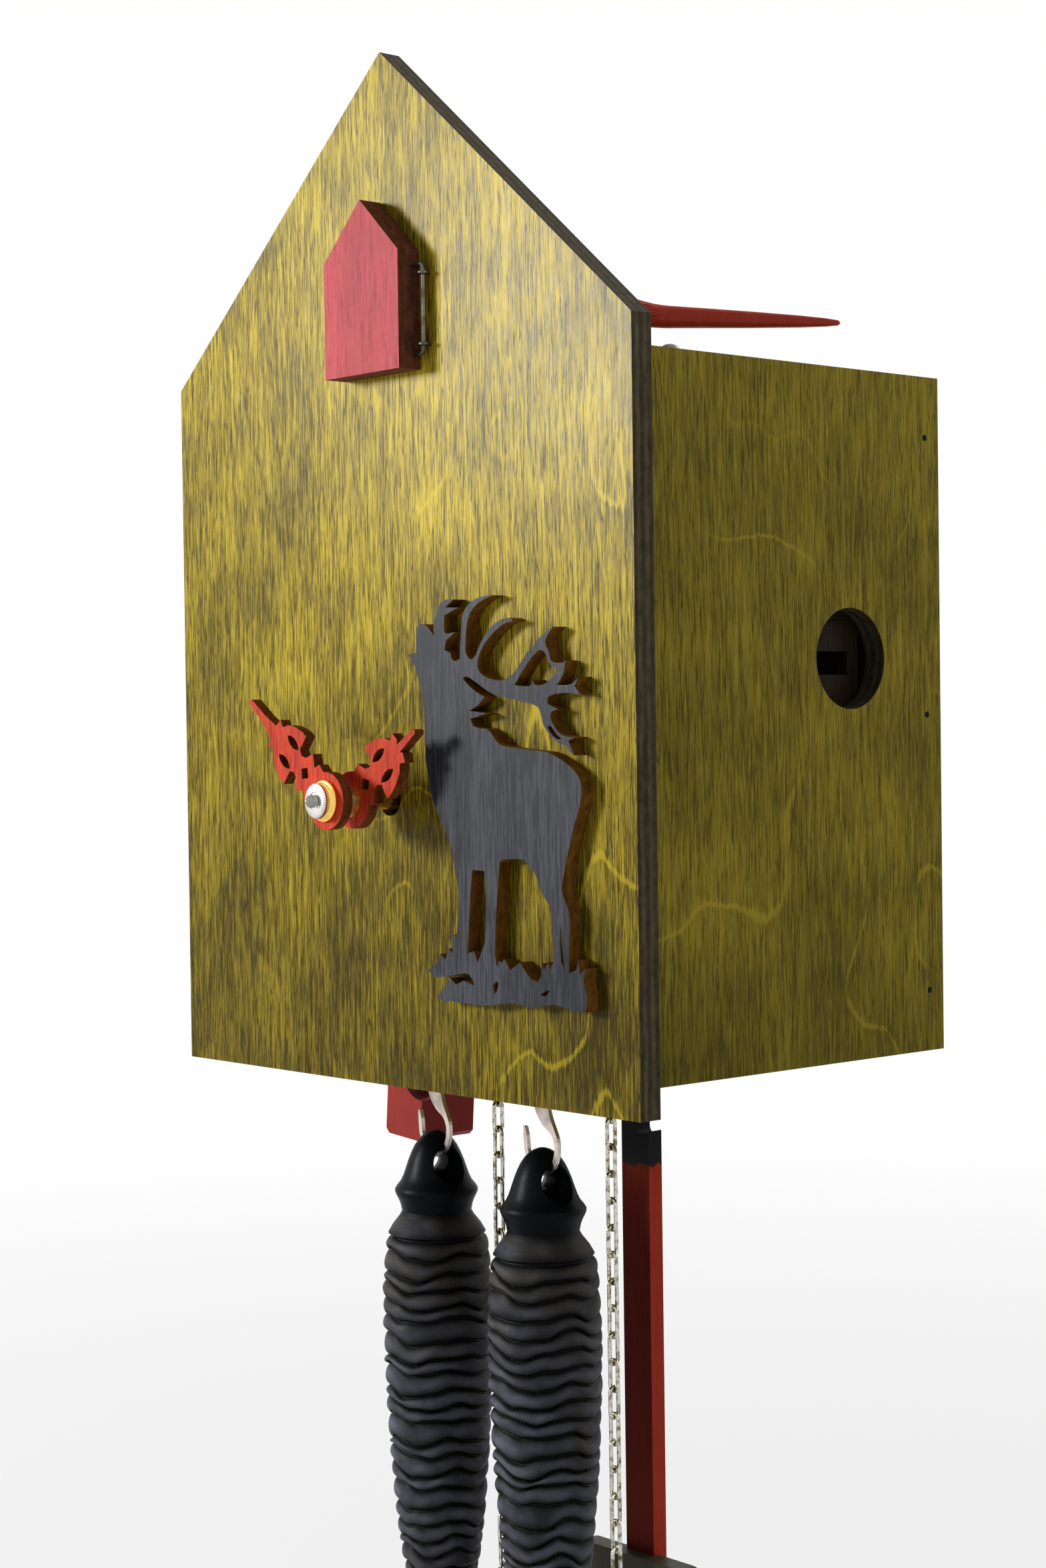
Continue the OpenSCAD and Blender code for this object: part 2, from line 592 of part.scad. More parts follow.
// Anchor over the escape wheel, its arbor, and the crutch that guides the pendulum
module anchor() color("lightsteelblue") at_hanger() {
    span_a = 45;
    pallet_a = 1;
    pallet_h = 1.6;
    tip_r = escape_r + 0.3;
    plate_xz(66, 67) difference() {
        union() {
            for (s = [-1, 1]) {
                polygon([[0, anchor_z - 1.6], [0, anchor_z + 2.2],
                    [s * (tip_r * sin(span_a) + 2.6), escape_z + tip_r * cos(span_a) + 3.4],
                    [s * tip_r * sin(span_a + pallet_a), escape_z + tip_r * cos(span_a + pallet_a)],
                    [s * tip_r * sin(span_a - pallet_a), escape_z + tip_r * cos(span_a - pallet_a)],
                    [s * (tip_r + pallet_h) * sin(span_a - pallet_a),
                        escape_z + (tip_r + pallet_h) * cos(span_a - pallet_a)]]);
            }
            translate([0, anchor_z]) circle(2.8);
        }
        translate([0, anchor_z]) circle(0.7);
    }
    rod_y(0, anchor_z, front_y, 81, pivot_r);
    // crutch: a flat arm with two prongs behind it
    plate_xz(79, 80) {
        translate([0, anchor_z]) circle(2.4);
        translate([-1, anchor_z - 30]) square([2, 30]);
        translate([-leader_w / 2 - 2.4, anchor_z - 32]) square([leader_w + 4.8, 3]);
    }
    for (s = [-1, 1]) rod_y(s * (leader_w / 2 + clear + 0.7), anchor_z - 30.5, 80, leader_y + 2, 0.7);
}

// Bracket on the rear plate whose pin carries the pendulum
module pendulum_cock() color("goldenrod") at_hanger() {
    top = anchor_z + 9;
    y = rear_y + plate_t;
    difference() {
        block([-6, y, anchor_z - 7], [6, y + 1.5, top]);
        rod_y(0, anchor_z, y - 1, y + 3, 1.6);
    }
    block([-6, y + 1.5, top - 2], [6, leader_y + 6, top]);
    block([-4, leader_y + 4.5, anchor_z - 3], [4, leader_y + 6, top - 2]);
    rod_y(0, anchor_z, leader_y - 2.6, leader_y + 4.5, pin_r);
}

module minute_post() color("silver") at_hanger() rod_y(minute_post[0], minute_post[1], 11.4, front_y, 1);

module pin_wheel() color("goldenrod") at_hanger() {
    on_arbor(-wheel_x, 29, pin_z) gear(pin_pinion_t, great_m, 3, 0.5, 0, 270 + 180 / pin_pinion_t);
    on_arbor(-wheel_x, 57, pin_z) gear(pin_t, pin_m, 1.2, 0.5, 4, 90);
    for (i = [0 : 7]) rotate_about(-wheel_x, pin_z, i * 45) rod_y(-wheel_x + pin_ring, pin_z, 57, 60, 0.5);
    arbor(-wheel_x, pin_z);
}

// Turns children about a line along Y through (x, z)
module rotate_about(x, z, a) translate([x, 0, z]) rotate([0, a, 0]) translate([-x, 0, -z]) children();

module fly() color("silver") at_hanger() {
    on_arbor(-wheel_x, 57, fly_z) gear(fly_pinion_t, pin_m, 3, 0.5, 0, 270 + 180 / fly_pinion_t);
    arbor(-wheel_x, fly_z);
    block([-wheel_x - 8, 62, fly_z - 0.5], [-wheel_x + 8, 72, fly_z + 0.5]);
}

// ---- hands and motion work -----------------------------------------------------------------

// Half outline of the fretwork beyond the ring, [along the hand, across it]
function fret_half(back, reach) = [
    for (p = [[7.8, 5.6], [8.8, 3.7], [11.5, 6.1], [13.2, 3.4], [15, 2.7], [16.5, 3.7], [16.4, 7.9],
        [18.4, 7.8], [20.6, 7.2], [22.6, 6.4], [24.4, 5.2], [25.7, 3.5], [27.7, 4.4], [28.3, 2]])
        if (p[0] - back > 7) [p[0] - back, p[1]],
    [reach - 8, 1.1], [reach - 0.7, 0.75]
];

// Half of a hand's outline from the back of its ring to its tip
function hand_half(back, reach) = concat([for (a = [175 : -10 : 45]) polar(7.4, a)], fret_half(back, reach));

// A wooden hand pointing along +X: leaf holes, a square hole and a ring round the arbor
module hand_shape(reach, back, hole) difference() {
    half = hand_half(back, reach);
    polygon(concat(half, [[reach, 0]], [for (i = [len(half) - 1 : -1 : 0]) [half[i][0], -half[i][1]]]));
    circle(hole);
    for (s = [-1, 1]) translate([19.8 - back, s * 3.1]) intersection() {
        translate([0, 3.1]) circle(4.3);
        translate([0, -3.1]) circle(4.3);
    }
    translate([11.1 - back, 0]) circle(1.9, $fn = 4);
}

// Turns a hand drawn along +X to the clockwise angle that it shows
module hand_at(turn, y) translate([0, y + hand_t, hand_z]) rotate([90, 0, 0]) rotate(turn + 90)
    linear_extrude(hand_t) children();

module minute_shaft() color("silver") at_hanger() difference() {
    union() {
        rod_y(0, hand_z, minute_y - 5.2, front_y - 0.4, stud_r);
        on_arbor(0, 18.5, hand_z) gear(cannon_t, motion_m, 4, stud_r - 0.4, 0, 225 + 180 / cannon_t);
    }
    rod_y(0, hand_z, front_y - 4.6, front_y, 1 + run);
}

module minute_hand() color("indianred") at_hanger()
    hand_at(minute_turn, minute_y) hand_shape(minute_len, 0, 3 + run);

module hand_bush() color("gold") at_hanger() difference() {
    union() {
        rod_y(0, hand_z, minute_y - 0.6, minute_y, 5.2);
        rod_y(0, hand_z, minute_y, minute_y + hand_t + 1, 3);
    }
    rod_y(0, hand_z, minute_y - 1, minute_y + hand_t + 2, stud_r + run);
}

module hand_nut() color("gainsboro") at_hanger() difference() {
    rod_y(0, hand_z, minute_y - 3.6, minute_y - 0.6, 4.5);
    rod_y(0, hand_z, minute_y - 4, minute_y, stud_r + run);
}

module minute_wheel() color("goldenrod") at_hanger() {
    on_arbor(minute_post[0], 18, minute_post[1]) gear(minute_wheel_t, motion_m, 1.2, 1 + run, 3, 45);
    on_arbor(minute_post[0], 14.9, minute_post[1]) gear(minute_pinion_t, hour_m, 5, 1 + run, 0, 45);
}

module hour_wheel() color("goldenrod") at_hanger() difference() {
    union() {
        on_arbor(0, 13.6, hand_z) gear(hour_wheel_t, hour_m, 1.2, 1, 3, 225 + 180 / hour_wheel_t);
        rod_y(0, hand_z, hour_y - 0.6, 15.8, pipe_r);
        rod_y(0, hand_z, hour_y - 0.6, hour_y, 4.4);
    }
    rod_y(0, hand_z, hour_y - 1, 17, stud_r + run);
}

module hour_hand() color("firebrick") at_hanger()
    hand_at(hour_turn, hour_y) hand_shape(hour_len, 3.9, pipe_r + run);

// ---- strike hammer, gong, whistles ---------------------------------------------------------

module hammer() color("dimgray") at_hanger() {
    x = hammer_arbor[0];
    z = hammer_arbor[1];
    head = [-gong_r - 6.5, gong_z];
    rod_y(x, z, front_y, gong_y, 1);
    on_arbor(x, gong_y, z) translate([0, 0, -1]) cylinder(h = 2, r = 2.6);
    // tail that the pins lift
    tail = [-wheel_x, pin_z] - [x, z];
    translate([x, 59.4, z]) rotate([0, -atan2(tail[1], tail[0]), 0]) translate([0, -1.2, -1])
        cube([norm(tail) - pin_ring - 1.3, 1.2, 2]);
    translate([x, gong_y, z]) rotate([0, 180 + atan2(head[0] - x, head[1] - z), 0])
        translate([0, 0, -norm([x, z] - head)]) cylinder(h = norm([x, z] - head), r = 0.8);
    translate([head[0] - 3.6, gong_y, head[1]]) rotate([0, 90, 0]) cylinder(h = 7.2, r = 4);
}

// Flat coil of half turns, each lower one joining two upper ones
module gong() color("darkslategray") at_hanger() translate([0, gong_y, gong_z]) {
    pitch = 5;
    turns = 4;
    inner = gong_r - pitch * turns;
    for (i = [0 : turns]) rotate([90, 0, 0]) rotate_extrude(angle = 180, $fn = 64)
        translate([inner + i * pitch, 0]) circle(gong_wire, $fn = 16);
    for (i = [0 : turns - 1]) translate([pitch / 2, 0, 0]) rotate([90, 0, 0]) rotate([0, 0, 180])
        rotate_extrude(angle = 180, $fn = 64)
            translate([inner + (i + 0.5) * pitch, 0]) circle(gong_wire, $fn = 16);
    translate([4, 0, 0]) rotate([0, 90, 0]) cylinder(h = inner - 4, r = gong_wire, $fn = 16);
}

module gong_block() color("gray") at_hanger() {
    rod_y(0, gong_z, gong_y + gong_wire + 1, back_y, 9);
    rod_y(0, gong_z, gong_y - 4, gong_y + gong_wire + 1, 4);
}

module whistle(s) color("burlywood") at_hanger() difference() {
    x = s * whistle_x;
    wall = 3.5;
    bore = [whistle_w / 2 - wall, whistle_d / 2 - wall];
    block([x - whistle_w / 2, sound_y - whistle_d / 2, floor_z],
        [x + whistle_w / 2, sound_y + whistle_d / 2, whistle_hi]);
    block([x - bore[0], sound_y - bore[1], floor_z + 12], [x + bore[0], sound_y + bore[1], sound_z + 2]);
    // mouth in the outer wall
    translate([x + s * whistle_w / 2 - 4, sound_y - 7, sound_z - 4]) cube([8, 14, 6]);
    // windway up to the bellows
    translate([x, sound_y, sound_z]) cylinder(h = 30, r = 2);
}

// Lower board and folded cloth of a bellows
module bellows_cloth(s) color("antiquewhite") at_hanger() {
    x = s * bellows_x;
    difference() {
        block([x - bellows_w / 2, bellows_y[0], whistle_hi], [x + bellows_w / 2, bellows_y[1], whistle_hi + 3]);
        translate([s * whistle_x, sound_y, whistle_hi - 1]) cylinder(h = 5, r = 2);
    }
    block([x - bellows_w / 2 + 1, bellows_y[0] + 1, whistle_hi + 3],
        [x + bellows_w / 2 - 1, bellows_y[1] - 1, whistle_hi + 7]);
}

module bellows_top(s) color("burlywood") at_hanger() {
    x = s * bellows_x;
    z = whistle_hi + 7;
    block([x - bellows_w / 2, bellows_y[0], z], [x + bellows_w / 2, bellows_y[1], z + 3]);
    block([x - 7, bellows_y[0] + 4, z + 3], [x + 7, bellows_y[0] + 18, z + 7]);
}

// ---- chains and weights --------------------------------------------------------------------

module loaded_chain(x) color("lightgray") at_hanger() strand(x, great_z, loaded_links, 90);
module free_chain(x) color("lightgray") at_hanger() strand(x, great_z, free_links, 0);

// Pull ring in the last link of a free strand, edge on to the weight beside it
module pull_ring(x) color("silver") at_hanger()
    translate([x, chain_y, great_z - free_links * chain_pitch + 0.1 + ring_wire - ring_r]) rotate([90, 0, 90])
        rotate_extrude() translate([ring_r, 0]) circle(ring_wire, $fn = 24);

// Half outline of a weight's body: a saw of scales over a pine cone's swell
function cone_swell(t) = cone_r * pow(sin(180 * pow(0.13 + 0.85 * t, 0.62)), 0.45);
function cone_profile(low, top, rows) = concat(
    [[0, low]],
    [for (i = [rows - 1 : -1 : 0], q = [0.88, 0]) let (t = (i + q) / rows)
        [cone_swell(t) * (q == 0 ? 1 : 0.93), top + (low - top) * (i + (q == 0 ? 0.35 : 1)) / rows]],
    [[10.2, top], [9.9, top + 1.5], [11.2, top + 7]]
);

module weight(x) color([0.16, 0.17, 0.2]) at_hanger() translate([x, chain_y, 0]) {
    dome_h = 22;
    top = -cone_drop - dome_h;
    low = -cone_drop - cone_len;
    difference() {
        rotate_extrude() polygon(concat(cone_profile(low, top, 20),
            curve([[11.2, top + 7], [10, top + 12], [7.4, top + 17], [4.4, top + 20.8], [0, top + dome_h]], 3),
            [[0, top + dome_h]]));
        // funnel-shaped eye, open to both flanks
        for (a = [0, 180]) translate([0, 0, eye_z]) rotate([0, 90, a + eye_turn])
            translate([0, 0, -0.01]) cylinder(h = 12, r1 = eye_r, r2 = eye_r + 12 * eye_flare);
    }
}

// Outline of a flat hook, [across, up] from the middle of the weight's eye
hook_bow = 6.6;
hook_neck = 1.6;
hook_out = hook_bow + hook_neck;
hook_mid = eye_r - 0.1 + hook_bow;
hook_high = hook_top - eye_z;
hook_outline = concat(
    [for (a = [180 : 15 : 345]) [0, hook_mid] + polar(hook_out, a)],
    curve([[hook_out, hook_mid], [hook_out - 0.4, hook_mid + 2.6], [hook_out - 1.8, hook_mid + 5],
        [hook_out - 3.4, hook_high - 9], [3.4, hook_high - 5.5], [3, hook_high - 2], [2, hook_high + 0.3],
        [0, hook_high + 1.1], [-2, hook_high + 0.3], [-3, hook_high - 2], [-3.1, hook_high - 5],
        [-2, hook_high - 8], [1, hook_high - 11], [hook_bow - 1.8, hook_mid + 3.6],
        [hook_bow - 0.3, hook_mid + 1.6], [hook_bow, hook_mid]]),
    [for (a = [360 : -15 : 180]) [0, hook_mid] + polar(hook_bow, a)],
    [[-hook_bow - 0.2, hook_mid + 2], [-hook_bow - 1, hook_mid + 4.2], [-hook_bow - 1.8, hook_mid + 4.3],
        [-hook_out - 0.2, hook_mid + 2]]
);

// Flat hook: its hole takes the last link, its bow goes through the weight's eye
module hook(x) color("silver") at_hanger() translate([x, chain_y, eye_z]) rotate([0, 0, eye_turn])
    plate_xz(-0.55, 0.55) difference() {
        polygon(hook_outline);
        translate([0, hook_high - link_wire / 2 - 0.35]) circle(link_wire / 2 + 0.5);
    }

// ---- pendulum ------------------------------------------------------------------------------

module pendulum_leader() color("lightsteelblue") at_hanger() difference() {
    union() {
        plate_xz(leader_y, leader_y + leader_t) translate([-leader_w / 2, rod_top - 8])
            square([leader_w, anchor_z - rod_top + 8]);
        rod_y(0, anchor_z, leader_y - 1.4, leader_y + 3, 3.4);
    }
    rod_y(0, anchor_z, leader_y - 5, leader_y + 5, pin_r + run);
}

module pendulum_rod() color("firebrick") at_hanger() plate_xz(rod_y - rod_t / 2, rod_y + rod_t / 2)
    difference() {
        notch_r = 2.4;
        union() {
            translate([-rod_w / 2, rod_low]) square([rod_w, notch_z - rod_low]);
            translate([-rod_w / 2, notch_z - 1]) square([tongue_w, rod_top - notch_z + 1]);
        }
        translate([tongue_w - rod_w / 2 + notch_r, notch_z]) circle(notch_r);
    }

module pendulum_bob() color([0.17, 0.17, 0.13]) at_hanger() difference() {
    front = rod_y - rod_t / 2 - bob_t + 2;
    corner = 5;
    translate([0, 0, -bob_drop - bob_h]) plate_xz(front, front + bob_t) union() {
        translate([-bob_w / 2 + corner, 0]) square([bob_w - 2 * corner, bob_h]);
        translate([-bob_w / 2, corner]) square([bob_w, bob_h - 2 * corner]);
        for (x = [-1, 1], z = [0, 1]) translate([x * (bob_w / 2 - corner), corner + z * (bob_h - 2 * corner)])
            circle(corner);
    }
    block([-rod_w / 2 - run, rod_y - rod_t / 2 - run, -bob_drop - bob_h - 20],
        [rod_w / 2 + run, rod_y + rod_t, -bob_drop + 20]);
}

// Bent spring strip on the back of the bob that grips the rod
module bob_spring() color("silver") at_hanger() {
    y = rod_y - rod_t / 2 + 2;
    z = -bob_drop - bob_h / 2;
    for (s = [-1, 1]) {
        block([s * 10.5 - 4, y, z - 5], [s * 10.5 + 4, y + 0.6, z + 5]);
        block([s * 7.1 - 0.6, y + 0.6, z - 5], [s * 7.1 + 0.6, rod_y + rod_t / 2 + 0.7, z + 5]);
    }
    block([-7.7, rod_y + rod_t / 2 + run, z - 5], [7.7, rod_y + rod_t / 2 + 0.7, z + 5]);
}

// ---- strike shut-off -----------------------------------------------------------------------

module shutoff_pin() color("silver") at_hanger() rod_y(tab_x, tab_z, stem_y[0] - 4, stem_y[1] + 4, pin_r);

module shutoff_lever() color("crimson") at_hanger() translate([tab_x, 0, tab_z]) rotate([0, tab_tilt, 0])
    difference() {
        union() {
            plate_xz(tab_y[0], tab_y[1]) difference() {
                translate([-tab_w / 2, -tab_drop - tab_z]) square([tab_w, tab_drop + case_lo - 4]);
                for (s = [-1, 1]) translate([s * tab_w / 2, -tab_drop - tab_z]) rotate(45)
                    square(2, center = true);
            }
            block([-stem_w / 2, stem_y[0], case_lo - 5 - tab_z], [stem_w / 2, stem_y[1], 16]);
        }
        rod_y(0, 0, stem_y[0] - 1, stem_y[1] + 1, pin_r + run);
        // finger scoop across the front right edge
        translate([tab_w / 2, tab_y[0], -9 - tab_z]) rotate([0, -30, 45]) rotate([90, 0, 0])
            translate([0, 0, -20]) cylinder(h = 40, r = 6);
    }

// ---- parts ---------------------------------------------------------------------------------

front_panel();
side_board(-1);  // side_left
side_board(1);  // side_right
top_board();
bottom_board();
back_panel();
stag();
door_eyelets();
door();
door_wire();
bird_bracket();
bird_arbor();
bird();
plate_front();
plate_rear();
plate_pillars();
movement_posts();
pendulum_cock();
minute_post();
great_wheel();
centre_wheel();
third_wheel();
escape_wheel();
anchor();
strike_wheel();
pin_wheel();
fly();
hammer();
gong();
gong_block();
minute_shaft();
minute_hand();
hand_bush();
hand_nut();
minute_wheel();
hour_wheel();
hour_hand();
loaded_chain(strands[2]);  // time_chain
free_chain(strands[3]);  // time_free_chain
pull_ring(strands[3]);  // time_ring
loaded_chain(strands[0]);  // strike_chain
free_chain(strands[1]);  // strike_free_chain
pull_ring(strands[1]);  // strike_ring
weight(strands[2]);  // time_weight
weight(strands[0]);  // strike_weight
hook(strands[2]);  // time_hook
hook(strands[0]);  // strike_hook
pendulum_leader();
pendulum_rod();
pendulum_bob();
bob_spring();
whistle(-1);  // whistle_left
whistle(1);  // whistle_right
bellows_cloth(-1);  // bellows_cloth_left
bellows_cloth(1);  // bellows_cloth_right
bellows_top(-1);  // bellows_top_left
bellows_top(1);  // bellows_top_right
shutoff_pin();
shutoff_lever();
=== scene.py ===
"""Finishes and fine pieces for a wall cuckoo clock that hangs by the hole in its back panel."""

import logging
import random
from dataclasses import dataclass
from enum import Enum, StrEnum
from math import atan2, cos, degrees, hypot, pi, radians, sin, tau
from typing import Sequence, Union

import bmesh
import bpy
from mathutils import Matrix, Vector


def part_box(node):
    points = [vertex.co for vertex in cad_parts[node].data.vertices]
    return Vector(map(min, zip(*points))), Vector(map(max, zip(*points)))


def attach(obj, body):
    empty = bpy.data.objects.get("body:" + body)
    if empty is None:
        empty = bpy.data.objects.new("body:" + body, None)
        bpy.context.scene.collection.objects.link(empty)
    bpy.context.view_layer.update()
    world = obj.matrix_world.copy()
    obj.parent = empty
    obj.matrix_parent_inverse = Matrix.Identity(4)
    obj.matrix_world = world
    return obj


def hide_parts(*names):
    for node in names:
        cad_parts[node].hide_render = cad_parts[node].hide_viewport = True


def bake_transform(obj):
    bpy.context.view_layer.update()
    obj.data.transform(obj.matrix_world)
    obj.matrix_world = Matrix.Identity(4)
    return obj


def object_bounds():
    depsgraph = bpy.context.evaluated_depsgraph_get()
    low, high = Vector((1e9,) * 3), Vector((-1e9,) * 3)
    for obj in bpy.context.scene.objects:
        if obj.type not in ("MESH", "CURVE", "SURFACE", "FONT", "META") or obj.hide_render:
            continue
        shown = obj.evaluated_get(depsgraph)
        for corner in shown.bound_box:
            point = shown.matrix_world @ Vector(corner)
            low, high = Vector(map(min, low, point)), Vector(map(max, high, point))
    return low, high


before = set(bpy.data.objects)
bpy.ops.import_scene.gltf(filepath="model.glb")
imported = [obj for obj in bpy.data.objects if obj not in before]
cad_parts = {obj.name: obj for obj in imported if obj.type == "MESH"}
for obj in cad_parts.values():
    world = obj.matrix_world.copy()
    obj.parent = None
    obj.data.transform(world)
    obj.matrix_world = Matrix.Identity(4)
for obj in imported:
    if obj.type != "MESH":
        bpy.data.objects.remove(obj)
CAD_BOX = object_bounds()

LOG = logging.getLogger("clock")
MM = 0.001  # in metres
PLIES = 770.0  # layers in a metre of plywood
Colour = tuple[float, float, float]
Point = tuple[float, float]
Place = tuple[float, float, float]
Number = Union[int, float, "Value"]
Material = bpy.types.Material
Mesh = bmesh.types.BMesh


class Axis(Enum):
    """The direction that a board's broad faces look along, in the clock's own axes."""

    X = 0
    Y = 1
    Z = 2


class Side(StrEnum):
    """A side of the case, seen from the front."""

    LEFT = "left"
    RIGHT = "right"

    @property
    def outward(self) -> int:
        """Returns which way along X the outside lies."""
        return 1 if self is Side.RIGHT else -1


class Value:
    """A shader value that takes part in ordinary arithmetic."""

    def __init__(self, graph: "Graph", socket: bpy.types.NodeSocket) -> None:
        """Keeps the graph and the output socket that carries the value."""
        self.graph = graph
        self.socket = socket

    def math(self, operation: str, *others: Number) -> "Value":
        """Returns the result of one Math operation on this value and the others."""
        return self.graph.node("Math", {"operation": operation}, dict(enumerate([self, *others])))

    def __add__(self, other: Number) -> "Value":
        """Returns self + other."""
        return self.math("ADD", other)

    def __sub__(self, other: Number) -> "Value":
        """Returns self - other."""
        return self.math("SUBTRACT", other)

    def __rsub__(self, other: Number) -> "Value":
        """Returns other - self."""
        return self.graph.node("Math", {"operation": "SUBTRACT"}, {0: other, 1: self})

    def __mul__(self, other: Number) -> "Value":
        """Returns self * other."""
        return self.math("MULTIPLY", other)

    def __pow__(self, other: Number) -> "Value":
        """Returns self to the power of other."""
        return self.math("POWER", other)

    def __abs__(self) -> "Value":
        """Returns the value without its sign."""
        return self.math("ABSOLUTE")

    __radd__ = __add__
    __rmul__ = __mul__

    def swing(self, amount: float) -> "Value":
        """Returns how far noise lies from its mean of a half, times an amount."""
        return (self - 0.5) * amount

    def most(self, other: Number) -> "Value":
        """Returns the larger of the two."""
        return self.math("MAXIMUM", other)

    def ease(self, low: float, high: float) -> "Value":
        """Returns 0 below low and 1 above high, smooth between them; low may be the larger."""
        inputs = {"Value": self, "From Min": low, "From Max": high}
        return self.graph.node("MapRange", {"interpolation_type": "SMOOTHSTEP"}, inputs)


class Graph:
    """A node tree, with one way to add any node."""

    def __init__(self, owner: Material | bpy.types.World) -> None:
        """Empties a node tree down to its output node.

        Args:
            owner: The material or world that holds the tree.
        """
        owner.use_nodes = True
        self.owner = owner
        self.tree = owner.node_tree
        self.tree.nodes.clear()
        kind = "World" if isinstance(owner, bpy.types.World) else "Material"
        self.output = self.tree.nodes.new(f"ShaderNodeOutput{kind}")

    def node(
        self,
        kind: str,
        settings: dict[str, object] | None = None,
        inputs: dict[int | str, object] | None = None,
        result: int | str = 0,
    ) -> Value:
        """Adds a node.

        Args:
            kind: The node's type, without its prefix.
            settings: What is set on the node first.
            inputs: A value or a link for each socket, by name or number.
            result: The output that is wanted.

        Returns:
            That output.
        """
        made = self.tree.nodes.new(f"ShaderNode{kind}")
        for key, value in (settings or {}).items():
            setattr(made, key, value)
        for key, value in (inputs or {}).items():
            socket = made.inputs[key]
            if isinstance(value, Value):
                self.tree.links.new(value.socket, socket)
            elif isinstance(value, tuple) and socket.type == "RGBA":
                socket.default_value = (*value[:3], 1.0)
            else:
                socket.default_value = value
        return Value(self, made.outputs[result])

    def place(self) -> Value:
        """Returns the point on the piece, in metres in the clock's axes."""
        return self.node("TexCoord", result="Object")

    def facing(self, axis: Axis) -> Value:
        """Returns how squarely the surface looks along an axis, from 0 to 1."""
        normal = self.node("TexCoord", result="Normal")
        return abs(self.part(normal, axis))

    def part(self, vector: Value, axis: Axis) -> Value:
        """Returns one component of a vector."""
        return self.node("SeparateXYZ", inputs={0: vector}, result=axis.value)

    def stretched(self, grow: Place) -> Value:
        """Returns the place, drawn out by a factor along each axis."""
        return self.node("Mapping", {"vector_type": "TEXTURE"}, {"Vector": self.place(), "Scale": grow})

    def noise(self, vector: Value, scale: float, detail: float = 2.0, rough: float = 0.5) -> Value:
        """Returns cloudy noise from 0 to 1 at a scale in cycles a metre."""
        inputs = {"Vector": vector, "Scale": scale, "Detail": detail, "Roughness": rough}
        return self.node("TexNoise", inputs=inputs)

    def blend(self, factor: Number, a: object, b: object) -> Value:
        """Returns colour a turned into colour b by factor."""
        return self.node("Mix", {"data_type": "RGBA"}, {0: factor, 6: a, 7: b}, result=2)

    def scaled(self, colour: object, factor: Number) -> Value:
        """Returns a colour made lighter or darker by a factor."""
        return self.node("VectorMath", {"operation": "SCALE"}, {0: colour, 3: factor})

    def bump(self, height: Value, depth: float, strength: float) -> Value:
        """Returns a normal that follows a height of that depth in metres."""
        return self.node("Bump", {}, {"Height": height, "Distance": depth, "Strength": strength})

    def surface(self, **sockets: object) -> Material:
        """Ends the graph in a Principled surface.

        Args:
            sockets: Its sockets, with _ for a space.

        Returns:
            The material.
        """
        inputs = {key.replace("_", " "): value for key, value in sockets.items()}
        return self.end(self.node("BsdfPrincipled", {}, inputs))

    def end(self, shader: Value) -> Material | bpy.types.World:
        """Links a shader to the output and returns the material or world."""
        self.tree.links.new(shader.socket, self.output.inputs[0])
        return self.owner

    def seen(self) -> Value:
        """Tells the rays that show a pale surrounding.

        Returns:
            1 for rays from the camera, off metal or through glass, and 0 for others.
        """
        kinds = ("Camera", "Glossy", "Transmission")
        camera, glossy, through = (self.node("LightPath", result=f"Is {kind} Ray") for kind in kinds)
        return camera.most(glossy).most(through)


